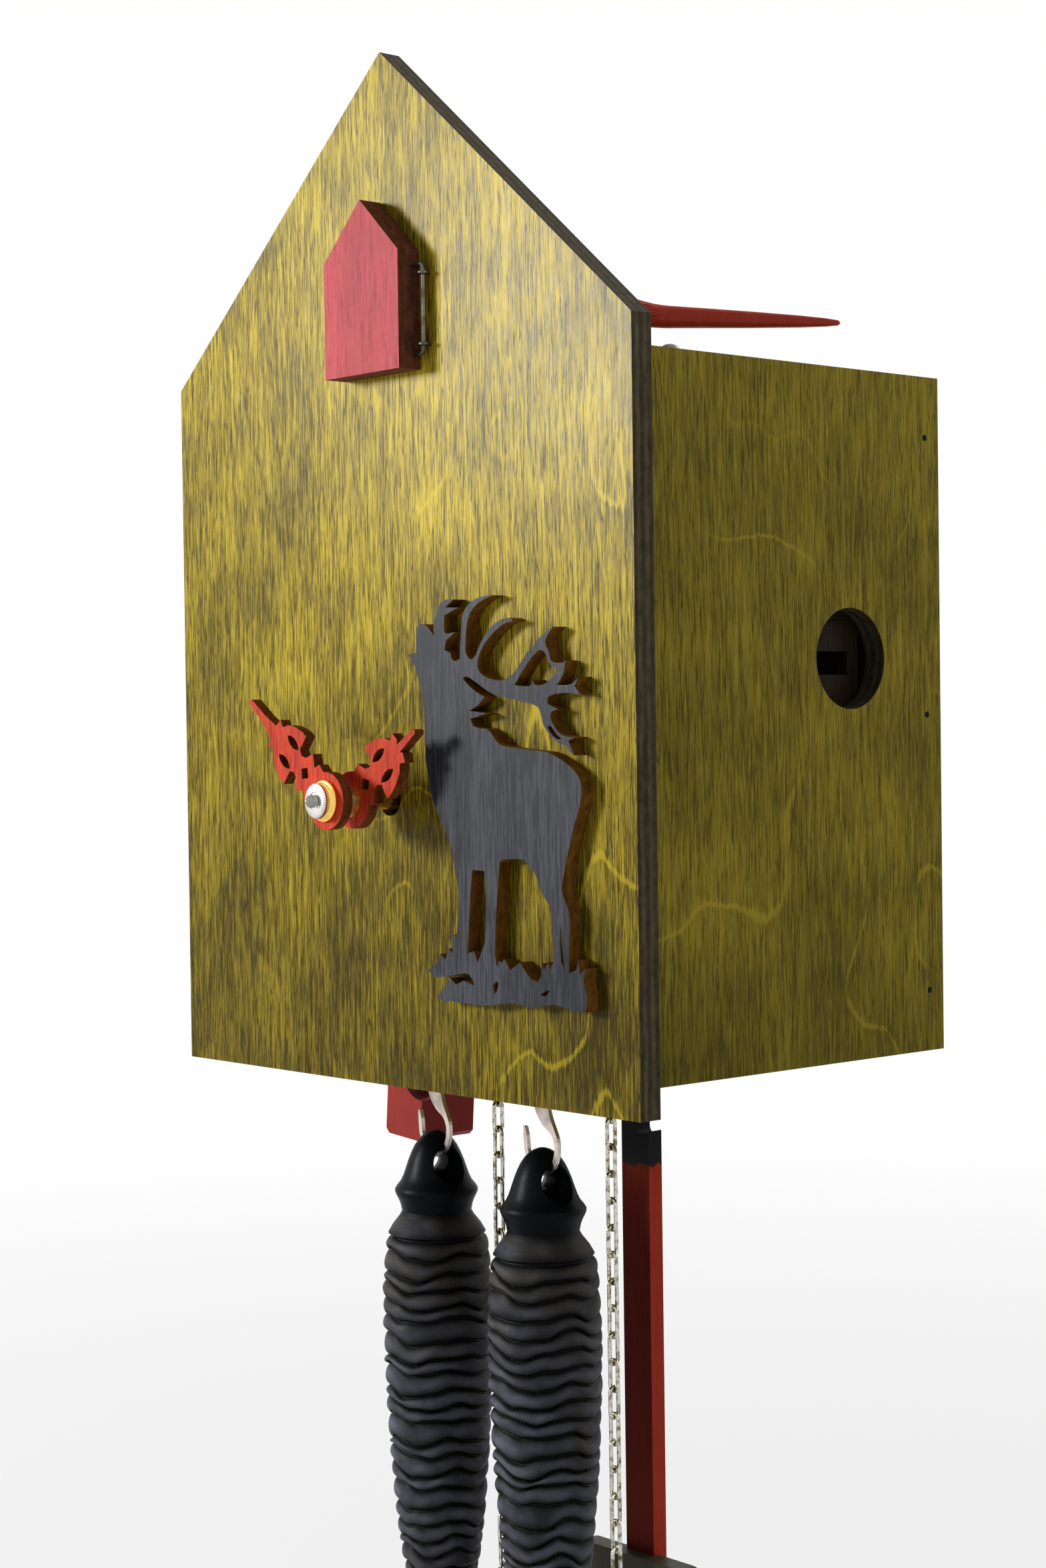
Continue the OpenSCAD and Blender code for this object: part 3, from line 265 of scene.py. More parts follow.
@dataclass(frozen=True)
class StainedWood:
    """Stained plywood: short dark fibres on the faces, dark plies on the cut edges, and where asked painted
    shade towards the foot and a painted highlight on the rims.
    """

    name: str
    light: Colour
    dark: Colour
    edge: Colour
    broad: Axis = Axis.Y
    # The foot settings darken the face towards the bottom: partly a stained gradient, partly painted shade
    # where the light from above falls off.
    foot: float = 1.0
    foot_from: float = 0.0
    foot_to: float = -0.1
    # Painted shade over the lower left of the face, where less light falls.
    left_shade: float = 0.0
    # A pale colour painted on the broken edges as a highlight.
    worn: Colour | None = None
    contrast: float = 1.0
    fibre: float = 2300.0
    length: float = 15.0
    plies: float = 0.0
    figure: float = 0.0
    gloss: float = 0.45
    shine: float = 0.3

    def material(self) -> Material:
        """Builds the stained surface.

        Returns:
            The material.
        """
        g = Graph(bpy.data.materials.new(self.name))
        height = g.part(g.place(), Axis.Z)
        grain, longer = self.grain(g, self.length), self.grain(g, self.length * 1.6)
        fibres = g.noise(grain, self.fibre, 3.0, 0.65)
        strands = abs(g.noise(longer, self.fibre * 0.7, 2.0, 0.5) - 0.5).ease(0.05, 0.015)
        streaks = g.noise(grain, self.fibre * 0.24, 3.0, 0.6)
        clouds = g.noise(g.stretched((1, 1, 1.4)), 34.0, 4.0, 0.62)
        wear = g.noise(g.place(), 420.0, 3.0, 0.6)
        # Darker towards the bottom: partly a stained gradient, partly painted shade.
        stain_and_shade = height.ease(self.foot_from, self.foot_to) * (1.0 - self.foot)
        # Painted shade over the lower left of the face.
        if self.left_shade:
            left = g.part(g.place(), Axis.X).ease(0.03, -0.09)
            stain_and_shade = stain_and_shade.most(left * height.ease(0.06, -0.02) * self.left_shade)
        strands = strands * streaks.ease(0.66, 0.42)
        marks = fibres.swing(2.7) + streaks.swing(0.7) + clouds.swing(1.4) - strands
        tone = 0.6 + marks * self.contrast - stain_and_shade * 0.36
        if self.figure:
            tone = tone + self.contours(g, height, streaks)
        lit = g.scaled(g.blend(tone, self.dark, self.light), (1.0 - stain_and_shade * 0.72) * (0.85 + clouds * 0.3))
        facing = g.facing(self.broad)
        face = facing.ease(0.45, 0.75)
        colour = g.blend(face, self.plywood(g, wear), lit)
        if self.worn is not None:
            # Painted highlight: a pale rim on the bevels where they would catch the light, made patchy by
            # the wear noise.
            rim = facing.ease(0.3, 0.6) * facing.ease(0.985, 0.9) * (wear + clouds - 0.4)
            colour = g.blend(rim, colour, self.worn)
        rough = self.gloss + wear.swing(0.1) + fibres.swing(0.25) + (1.0 - face) * 0.3
        relief = fibres * 0.7 + streaks * 0.3 + wear * 0.1
        normal = g.bump(relief, 0.00004, 0.8)
        return g.surface(Base_Color=colour, Roughness=rough, Specular_IOR_Level=self.shine, Normal=normal)

    def grain(self, g: Graph, length: float) -> Value:
        """Returns the place drawn out along the grain: upright, or front to back on a level board."""
        return g.stretched((1, length, 1) if self.broad is Axis.Z else (1, 1, length))

    def contours(self, g: Graph, height: Value, streaks: Value) -> Value:
        """Draws the pale wandering lines of the veneer's figure, mostly toward the lower right.

        Args:
            g: The graph.
            height: The place's height.
            streaks: The noise that frays the lines.

        Returns:
            How much the lines lighten the tone.
        """
        wander = g.noise(g.stretched((1, 1, 1.5)), 15.0, 2.0, 0.4) + streaks.swing(0.014)
        line = abs((wander * 7.0).math("FRACT") - 0.5).ease(0.032, 0.004)
        patch = g.noise(g.place(), 19.0, 1.0).ease(0.4, 0.55)
        corner = g.part(g.place(), Axis.X).ease(-0.04, 0.05) * height.ease(0.03, -0.04)
        return line * patch * corner * (0.9 * self.figure)

    def plywood(self, g: Graph, wear: Value) -> Value:
        """Colours the cut plies.

        Args:
            g: The graph.
            wear: The noise that wears them.

        Returns:
            Their colour.
        """
        across = g.part(g.place(), self.broad)
        grain = g.noise(g.stretched((1, 1, 5)), 700.0, 2.0, 0.6)
        tint = g.scaled(self.edge, 1.0 + grain.swing(1.9) + wear.swing(1.3))
        if not self.plies:
            return tint
        layer = (across * (pi * self.plies)).math("SINE").ease(-0.2, 0.2)
        return g.scaled(tint, 0.75 + layer * 0.5)


@dataclass(frozen=True)
class Paint:
    """Brushed lacquer over wood, with fine ridges along the piece."""

    name: str
    colour: Colour
    deep: Colour
    gloss: float = 0.4
    shine: float = 0.14
    ridge: float = 900.0
    cap: Colour | None = None
    cap_from: float = 0.0
    # A brighter colour for the faces looking along X: painted light on the lit sides.
    side: Colour | None = None

    def material(self) -> Material:
        """Builds the lacquer.

        Returns:
            The material.
        """
        g = Graph(bpy.data.materials.new(self.name))
        ridges = g.noise(g.stretched((1, 1, 22)), self.ridge, 3.0, 0.6)
        clouds = g.noise(g.stretched((1, 1, 2)), 60.0, 3.0, 0.6)
        tone = 0.5 + ridges.swing(0.9) + clouds.swing(1.1)
        colour = g.blend(tone, self.deep, self.colour)
        # Faces looking along X get the brighter colour: painted light, against a front darkened as painted
        # shade.
        if self.side is not None:
            colour = g.blend(g.facing(Axis.X).ease(0.5, 0.8), colour, g.scaled(self.side, 0.7 + tone * 0.6))
        if self.cap is not None:
            wave = g.noise(g.stretched((1, 1, 6)), 190.0, 1.0, 0.5)
            height = g.part(g.place(), Axis.Z) + wave.swing(0.006)
            colour = g.blend(height.ease(self.cap_from - 0.0004, self.cap_from + 0.0004), colour, self.cap)
        rough = self.gloss + clouds.swing(0.2) + ridges.swing(0.15)
        normal = g.bump(ridges, 0.00005, 0.6)
        return g.surface(Base_Color=colour, Roughness=rough, Specular_IOR_Level=self.shine, Normal=normal)


@dataclass(frozen=True)
class Metal:
    """Bare or plated metal with fine scratches, dull patches and a tarnish tint; on the chain that tint also
    stands in for the dark room it reflects, as painted reflection.
    """

    name: str
    colour: Colour
    tarnish_and_dark_reflection: Colour
    gloss: float = 0.3
    scratch: float = 1800.0
    patch: float = 260.0

    def material(self) -> Material:
        """Builds the metal.

        Returns:
            The material.
        """
        g = Graph(bpy.data.materials.new(self.name))
        scratches = g.noise(g.stretched((1, 6, 1)), self.scratch, 3.0, 0.6)
        dull = g.noise(g.place(), self.patch, 3.0, 0.6)
        colour = g.blend(dull.ease(0.42, 0.68), self.colour, self.tarnish_and_dark_reflection)
        rough = self.gloss + dull.swing(0.35) + scratches.swing(0.2)
        normal = g.bump(scratches, 0.000008, 0.5)
        return g.surface(Base_Color=colour, Metallic=1.0, Roughness=rough, Normal=normal)


@dataclass(frozen=True)
class CastBlack:
    """Black-painted cast iron with a painted bluish sheen on the middle of each scale face, standing in for
    highlights.
    """

    name: str
    black: Colour = (0.004, 0.0042, 0.0046)
    face_sheen: Colour = (0.094, 0.097, 0.122)
    rust: Colour = (0.05, 0.043, 0.028)
    gloss: float = 0.5
    shine: float = 0.08
    brown_from: float = 0.0
    brown_to: float = 0.01

    def material(self) -> Material:
        """Builds the painted iron.

        Returns:
            The material.
        """
        g = Graph(bpy.data.materials.new(self.name))
        grit = g.noise(g.place(), 1400.0, 3.0, 0.65)
        clouds = g.noise(g.place(), 110.0, 3.0, 0.6)
        stain = g.noise(g.stretched((1, 1, 2)), 70.0, 2.0, 0.5).ease(0.56, 0.72)
        height = g.part(g.place(), Axis.Z)
        stain = stain.most(height.ease(self.brown_from, self.brown_to) * clouds.ease(0.35, 0.5))
        # The scale faces get a painted bluish sheen as highlight; the grooves under the lips stay black as
        # painted shade.
        sheen_share = g.node("Attribute", {"attribute_name": "sheen_share"}, result="Fac")
        tone = sheen_share * (clouds.swing(2.4) + 0.95)
        colour = g.blend(tone, self.black, g.blend(stain * 0.75, self.face_sheen, self.rust))
        rough = self.gloss + clouds.swing(0.3) + grit.swing(0.2)
        normal = g.bump(grit, 0.00009, 0.4)
        return g.surface(Base_Color=colour, Roughness=rough, Specular_IOR_Level=self.shine, Normal=normal)


@dataclass(frozen=True)
class Cloth:
    """Thin plain-woven bellows cloth."""

    name: str
    colour: Colour
    threads: float = 9000.0

    def material(self) -> Material:
        """Builds the cloth.

        Returns:
            The material.
        """
        g = Graph(bpy.data.materials.new(self.name))
        where = g.place()
        warp = (g.part(where, Axis.X) * self.threads).math("SINE")
        weft = (g.part(where, Axis.Y) * self.threads).math("SINE")
        weave = (warp * weft) * 0.5 + 0.5
        soil = g.noise(where, 90.0, 3.0, 0.6)
        colour = g.scaled(self.colour, 0.7 + weave * 0.2 + soil * 0.25)
        return g.surface(Base_Color=colour, Roughness=0.9, Normal=g.bump(weave, 0.0002, 0.5))


class Finishes:
    """Every material of the clock, each made once."""

    def __init__(self) -> None:
        """Builds the materials."""
        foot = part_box("front_panel")[0][2]
        # The panel darkens towards its foot (partly stain, partly painted shade), gets painted shade on its
        # lower left and a painted highlight on its rims.
        self.panel = StainedWood(
            "birch_stained_olive",
            light=(0.7, 0.52, 0.035), dark=(0.11, 0.08, 0.012), edge=(0.075, 0.06, 0.033),
            worn=(0.72, 0.62, 0.38), foot=0.32, foot_from=foot + 0.16, foot_to=foot + 0.02, left_shade=0.36,
            fibre=2750.0, length=19.0, plies=PLIES, figure=1.0, gloss=0.27, shine=0.06,
        ).material()
        # The sides and decks take a darker copy of the panel's olive stain: painted shade for the weaker
        # light on these faces; the sides also darken towards the bottom, partly as painted shade.
        olive = {"light": (0.42, 0.32, 0.03), "dark": (0.1, 0.078, 0.012), "edge": (0.05, 0.042, 0.025)}
        self.case = StainedWood(
            "birch_stained_side", **olive,
            broad=Axis.X, foot=0.7, foot_from=-0.1, foot_to=-0.16, contrast=0.85,
            fibre=2700.0, length=22.0, plies=PLIES, figure=0.75, gloss=0.55, shine=0.06,
        ).material()
        self.decks = StainedWood(
            "birch_stained_deck", **olive, broad=Axis.Z, contrast=0.8, plies=PLIES, shine=0.12,
        ).material()
        self.back = StainedWood(
            "bare_birch",
            light=(0.5, 0.36, 0.2), dark=(0.36, 0.24, 0.12), edge=(0.3, 0.2, 0.11),
            contrast=0.6, plies=PLIES, gloss=0.6,
        ).material()
        self.door = StainedWood(
            "door_stained_red",
            light=(0.68, 0.092, 0.106), dark=(0.34, 0.035, 0.045), edge=(0.14, 0.05, 0.03),
            contrast=0.6, fibre=1700.0, gloss=0.42, shine=0.06,
        ).material()
        # The stag's pale rims are a painted highlight.
        self.stag = StainedWood(
            "stag_stained_black",
            light=(0.057, 0.061, 0.074), dark=(0.014, 0.016, 0.02), edge=(0.17, 0.075, 0.01),
            worn=(0.34, 0.34, 0.34), contrast=1.5, fibre=2300.0, length=22.0, gloss=0.42, shine=0.12,
        ).material()
        self.hands = StainedWood(
            "hands_stained_red",
            light=(0.84, 0.085, 0.032), dark=(0.3, 0.02, 0.012), edge=(0.17, 0.052, 0.013),
            contrast=0.5, gloss=0.4, shine=0.06,
        ).material()
        self.deal = StainedWood(
            "bare_spruce",
            light=(0.62, 0.44, 0.27), dark=(0.45, 0.3, 0.17), edge=(0.5, 0.35, 0.2),
            broad=Axis.X, contrast=0.6,
        ).material()
        # The whistles' wood is made nearly black: painted shade for the dark inside of the case seen through
        # the sound holes.
        self.pipe = StainedWood(
            "dark_pipe_wood",
            light=(0.03, 0.018, 0.01), dark=(0.012, 0.007, 0.004), edge=(0.022, 0.013, 0.008),
            broad=Axis.X, shine=0.08,
        ).material()
        self.bird = Paint("bird_red", (0.78, 0.1, 0.06), (0.5, 0.045, 0.03), shine=0.1).material()
        self.beak = Paint("beak_ochre", (0.62, 0.36, 0.06), (0.4, 0.2, 0.03), 0.35).material()
        self.bead = Paint("bead_black", (0.012, 0.012, 0.013), (0.006,) * 3, 0.12, shine=0.6).material()
        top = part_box("pendulum_rod")[1][2]
        # The rod's front red is darkened and its sides given a brighter red: painted shade on the front,
        # painted light on the sides.
        self.rod = Paint(
            "rod_red", (0.2, 0.018, 0.007), (0.1, 0.008, 0.003), 0.45, shine=0.05,
            cap=(0.012, 0.012, 0.014), cap_from=top - 0.039, side=(0.42, 0.04, 0.02),
        ).material()
        self.bob = Paint("bob_black_olive", (0.07, 0.066, 0.03), (0.02, 0.02, 0.016), 0.45).material()
        self.lever = Paint("lever_red", (0.36, 0.03, 0.018), (0.22, 0.014, 0.009), 0.45).material()
        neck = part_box("strike_weight")[1][2] - ConeWeight.neck * MM
        self.iron = CastBlack("cast_iron_black", brown_from=neck - 0.05, brown_to=neck - 0.015).material()
        smooth = CastBlack("cast_iron_smooth", (0.003, 0.004, 0.006), gloss=0.38, shine=0.05)
        self.smooth_iron = smooth.material()
        # The chain's dark patches are painted reflection of a dark room, as well as tarnish.
        chain = Metal("nickel_chain", (0.62, 0.6, 0.52), (0.13, 0.095, 0.035), 0.12, patch=640.0)
        self.chain = chain.material()
        self.nickel = Metal("nickel", (0.78, 0.76, 0.72), (0.6, 0.57, 0.5), 0.22).material()
        self.hook = Metal("dull_nickel", (0.6, 0.53, 0.47), (0.44, 0.38, 0.32), 0.42).material()
        self.brass = Metal("brass", (0.78, 0.5, 0.13), (0.52, 0.33, 0.09), 0.26).material()
        self.brass_bright = Metal("bright_brass", (0.95, 0.62, 0.16), (0.8, 0.5, 0.12), 0.24).material()
        self.steel = Metal("steel", (0.36, 0.36, 0.35), (0.24, 0.23, 0.2), 0.3).material()
        self.wire = Metal("dark_wire", (0.16, 0.15, 0.14), (0.09, 0.07, 0.05), 0.4).material()
        self.gong = Metal("blued_steel", (0.08, 0.1, 0.16), (0.05, 0.05, 0.06), 0.3).material()
        self.cloth = Cloth("bellows_cloth", (0.75, 0.7, 0.6)).material()


def dress(material: Material, *nodes: str) -> None:
    """Gives CAD nodes a finish.

    Args:
        material: The finish.
        nodes: The names of the nodes.
    """
    for node in nodes:
        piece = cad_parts[node]
        if not piece.material_slots:
            piece.data.materials.append(material)
        for slot in piece.material_slots:
            slot.material = material
        LOG.info("%s: %s", node, material.name)


def soften(width: float, *nodes: str) -> None:
    """Breaks the sharp edges of CAD nodes with a small bevel.

    Args:
        width: The bevel's width in millimetres.
        nodes: The names of the nodes.
    """
    for node in nodes:
        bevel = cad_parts[node].modifiers.new("broken_edges", "BEVEL")
        bevel.width = width * MM
        bevel.segments = 2
        bevel.limit_method = "ANGLE"
        bevel.angle_limit = radians(50)


def link(name: str, data: bpy.types.ID) -> bpy.types.Object:
    """Puts data into the scene.

    Args:
        name: The object's name.
        data: Its mesh, lamp or camera.

    Returns:
        The new object.
    """
    piece = bpy.data.objects.new(name, data)
    bpy.context.scene.collection.objects.link(piece)
    return piece


def link_mesh(name: str, mesh: Mesh, *materials: Material) -> bpy.types.Object:
    """Turns a mesh into an object and frees it.

    Args:
        name: The object's name.
        mesh: Its geometry, in metres.
        materials: Its finishes.

    Returns:
        The new object.
    """
    data = bpy.data.meshes.new(name)
    mesh.to_mesh(data)
    mesh.free()
    for material in materials:
        data.materials.append(material)
    return link(name, data)


def add_piece(
    name: str,
    mesh: Mesh,
    material: Material,
    body: str | None,
    replaces: Sequence[str] = (),
    smooth: float = 40.0,
) -> bpy.types.Object:
    """Turns a mesh into a piece of the clock.

    Args:
        name: The piece's name.
        mesh: Its geometry, in metres in the clock's frame.
        material: Its finish.
        body: The CAD body that it rides on, or None where it hangs between two.
        replaces: The CAD nodes that it stands for.
        smooth: The steepest angle between faces that still shade smoothly, in degrees.

    Returns:
        The new object.
    """
    bmesh.ops.recalc_face_normals(mesh, faces=mesh.faces)
    piece = link_mesh(name, mesh, material)
    for polygon in piece.data.polygons:
        polygon.use_smooth = True
    piece.data.set_sharp_from_angle(angle=radians(smooth))
    if body:
        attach(piece, body)
    if replaces:
        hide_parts(*replaces)
    LOG.info("%s: %d faces", name, len(piece.data.polygons))
    return piece


def add_board(mesh: Mesh, low: Vector, high: Vector, edge: float) -> None:
    """Adds a board with broken edges.

    Args:
        mesh: Where the faces go.
        low: The board's lowest corner.
        high: Its highest corner.
        edge: The bevel's width in metres.
    """
    made = bmesh.ops.create_cube(mesh, size=1.0)["verts"]
    for vert in made:
        vert.co = Vector([low[i] if vert.co[i] < 0 else high[i] for i in range(3)])
    edges = list({e for vert in made for e in vert.link_edges})
    bmesh.ops.bevel(mesh, geom=edges, offset=edge, segments=2, affect="EDGES", profile=0.6)


def smoothstep(low: float, high: float, value: float) -> float:
    """Returns 0 below low and 1 above high, smooth between them; low may be the larger."""
    t = min(1.0, max(0.0, (value - low) / (high - low)))
    return t * t * (3 - 2 * t)


def circle(count: int) -> list[float]:
    """Returns the angles of that many equal steps round a full turn."""
    return [tau * i / count for i in range(count)]


def loft(mesh: Mesh, rings: Sequence[Sequence[Vector]], closed: bool = True) -> None:
    """Joins rings of points with quads.

    Args:
        mesh: Where the faces go.
        rings: The rings, all with as many points.
        closed: Whether a face closes each end.
    """
    made = [[mesh.verts.new(p) for p in ring] for ring in rings]
    count = len(made[0])
    for low, high in zip(made, made[1:]):
        for i in range(count):
            j = (i + 1) % count
            mesh.faces.new((low[i], low[j], high[j], high[i]))
    if closed:
        for ring in (made[0], made[-1]):
            mesh.faces.new(ring)


def lathe(mesh: Mesh, centre: Vector, axis: Vector, profile: Sequence[Point], sides: int) -> None:
    """Turns a profile.

    Args:
        mesh: Where the faces go.
        centre: The point at distance 0 along the axis.
        axis: The turning axis.
        profile: Pairs of distance along the axis and radius, in millimetres.
        sides: The number of faces round it.
    """
    out = axis.orthogonal().normalized()
    across = axis.normalized().cross(out)
    rings = []
    for along, radius in profile:
        middle = centre + axis.normalized() * along * MM
        rings.append([middle + (out * cos(a) + across * sin(a)) * radius * MM for a in circle(sides)])
    loft(mesh, rings)


def around_y(centre: Vector, along: float, radii: Sequence[float]) -> list[Vector]:
    """Returns a ring round the Y axis through a centre, one point for each radius, in millimetres."""
    angles = circle(len(radii))
    return [centre + Vector((r * cos(a), along, r * sin(a))) * MM for a, r in zip(angles, radii)]


def between(stops: Sequence[Point], t: float) -> float:
    """Reads a broken line.

    Args:
        stops: Its pairs of place and value.
        t: A place.

    Returns:
        The value there.
    """
    for (a, p), (b, q) in zip(stops, stops[1:]):
        if t <= b:
            s = (t - a) / (b - a)
            return p + (q - p) * s
    return stops[-1][1]


@dataclass
class ConeWeight:
    """A cast pine cone: stacked rows of broad scales with sagging wavy lips, under a bored dome."""

    finishes: Finishes
    node: str
    body: str
    rows: int = 26
    scales: int = 4
    lip: float = 1.7
    sides: int = 208
    steps: int = 470
    neck: float = 22.0
    plain: float = 0.06
    lowest: float = radians(-66)
    eye_drop: float = 8.6
    eye_turn: float = radians(-8)
    eye: tuple[Point, ...] = (
        (0, 2.65), (2, 2.75), (3.4, 3.2), (5, 4.1), (7, 5.0), (9, 5.6), (11, 5.8), (13.5, 5.6), (14, 0.1),
    )
    crown: tuple[Point, ...] = (
        (22.6, 9.6), (22, 9.9), (20.8, 10.1), (19.4, 10.6), (18, 11.3), (17.2, 11.65), (16.4, 11.7),
        (15.4, 11.1), (14.2, 10.1), (12.6, 9.3), (10.6, 8.6), (8.2, 7.8), (6, 6.9), (4.2, 6.0), (2.6, 4.9),
        (1.3, 3.6), (0.5, 2.2), (0.1, 1), (0, 0.3),
    )
    swell: tuple[Point, ...] = (
        (0.0, 0.62), (0.015, 0.68), (0.035, 0.8), (0.06, 0.905), (0.09, 0.945), (0.13, 0.975), (0.2, 1.0),
        (0.28, 0.998), (0.36, 0.98), (0.47, 0.945), (0.59, 0.885), (0.7, 0.81), (0.8, 0.705), (0.9, 0.53),
        (0.96, 0.36), (1.0, 0.12),
    )

    def build(self) -> None:
        """Makes the cone and its dome."""
        low, self.high = map(Vector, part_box(self.node))
        self.middle = (low + self.high) / 2
        self.radius = (self.high.x - low.x) / 2
        self.top = self.high.z - self.neck * MM
        self.length = self.top - low.z
        dice = random.Random(self.node)
        self.dice = [[dice.random() for _ in range(6)] for _ in range(self.rows + 2)]
        self.bare: list[float] = []
        mesh = bmesh.new()
        loft(mesh, [self.ring(k / self.steps) for k in range(self.steps + 1)])
        iron = self.finishes.iron
        piece = add_piece(f"{self.node}_cone", mesh, iron, self.body, [self.node], smooth=70)
        # Each point's share of the painted sheen.
        sheen_share = piece.data.attributes.new("sheen_share", "FLOAT", "POINT")
        sheen_share.data.foreach_set("value", self.bare)
        self.dome()

    def ring(self, t: float) -> list[Vector]:
        """Draws one ring of the cone.

        Args:
            t: Its share of the way from the neck to the tip.

        Returns:
            The ring's points.
        """
        z = self.top - self.length * t
        base = self.radius * between(self.swell, t)
        points = []
        for angle in circle(self.sides):
            thick, bare = self.scale(t, angle)
            self.bare.append(bare)
            r = base - self.lip * (1 - thick) * MM * min(1.0, base / self.radius + 0.1)
            x, y = self.middle.x + r * cos(angle), self.middle.y + r * sin(angle)
            points.append(Vector((x, y, z)))
        return points

    def edge(self, k: int, angle: float) -> float:
        """Draws the wavy lip of a row.

        Args:
            k: The row's number from the neck.
            angle: The direction round the cone.

        Returns:
            How far the lip lies from the neck, in rows.
        """
        shift, first, second, third, depth, _ = self.dice[max(k, 0)]
        sag = (0.15 + 0.17 * depth) * cos(self.scales * (angle - self.lowest) + 0.9 * (shift - 0.5))
        sag += 0.08 * sin(6 * angle + 6.3 * first) + 0.045 * sin(9 * angle + 6.3 * second)
        sag += 0.02 * sin(15 * angle + 6.3 * third) + 0.13 * sin(2 * angle + 6.3 * third)
        return k + 1 + (sag + 0.5 * (third - 0.5)) * min(1.0, k)

    def scale(self, t: float, angle: float) -> tuple[float, float]:
        """Shapes the scale at a place.

        Args:
            t: The place's share of the way from the neck to the tip.
            angle: Its direction round the cone.

        Returns:
            How far the scale stands out and how much painted sheen it gets, both from 0 to 1.
        """
        row = t / self.plain if t < self.plain else 1 + (t - self.plain) / (1 - self.plain) * (self.rows - 1)
        k = max(0, int(row) - 1)
        while k < self.rows and self.edge(k, angle) < row:
            k += 1
        start = self.edge(k - 1, angle) if k else 0.0
        s = (row - start) / max(self.edge(k, angle) - start, 0.05)
        full = 0.8 + 0.2 * self.dice[min(k, self.rows)][5]
        rise = pi * min(1.0, max(0.0, (s - 0.06) / 0.9)) ** 1.3
        stand = 0.12 + 0.88 * full * max(0.0, sin(rise)) ** 0.4
        if k == 0:
            stand = min(1.0, 0.8 + 0.2 * s) if s < 0.9 else stand
        # Painted sheen on the middle of each scale face, none in the shaded groove under each lip.
        bare = max(0.0, sin(pi * min(1.0, max(0.0, (s - 0.1) / 0.78)))) ** 1.3
        shift, first = self.dice[min(k, self.rows)][:2]
        bare *= 0.78 + 0.3 * sin(2 * angle + 6.3 * shift) * sin(5 * angle + 6.3 * first)
        return stand, bare

    def dome(self) -> None:
        """Makes the smooth dome with its eye bored through."""
        mesh = bmesh.new()
        foot = Vector((self.middle.x, self.middle.y, self.high.z))
        lathe(mesh, foot, Vector((0, 0, -1)), self.crown, 96)
        piece = add_piece(f"{self.node}_dome", mesh, self.finishes.smooth_iron, self.body, smooth=50)
        cutter = bmesh.new()
        seat = foot + Vector((0, 0, -self.eye_drop * MM))
        axis = Vector((cos(self.eye_turn), sin(self.eye_turn), 0))
        far_half = [(-along, radius) for along, radius in reversed(self.eye[1:])]
        lathe(cutter, seat, axis, [*far_half, *self.eye], 48)
        bmesh.ops.recalc_face_normals(cutter, faces=cutter.faces)
        tool = link_mesh("eye_tool", cutter)
        cut = piece.modifiers.new("eye", "BOOLEAN")
        cut.operation = "DIFFERENCE"
        cut.object = tool
        bpy.context.view_layer.update()
        shape = bpy.data.meshes.new_from_object(piece.evaluated_get(bpy.context.evaluated_depsgraph_get()))
        piece.modifiers.clear()
        piece.data = shape
        bpy.data.objects.remove(tool)


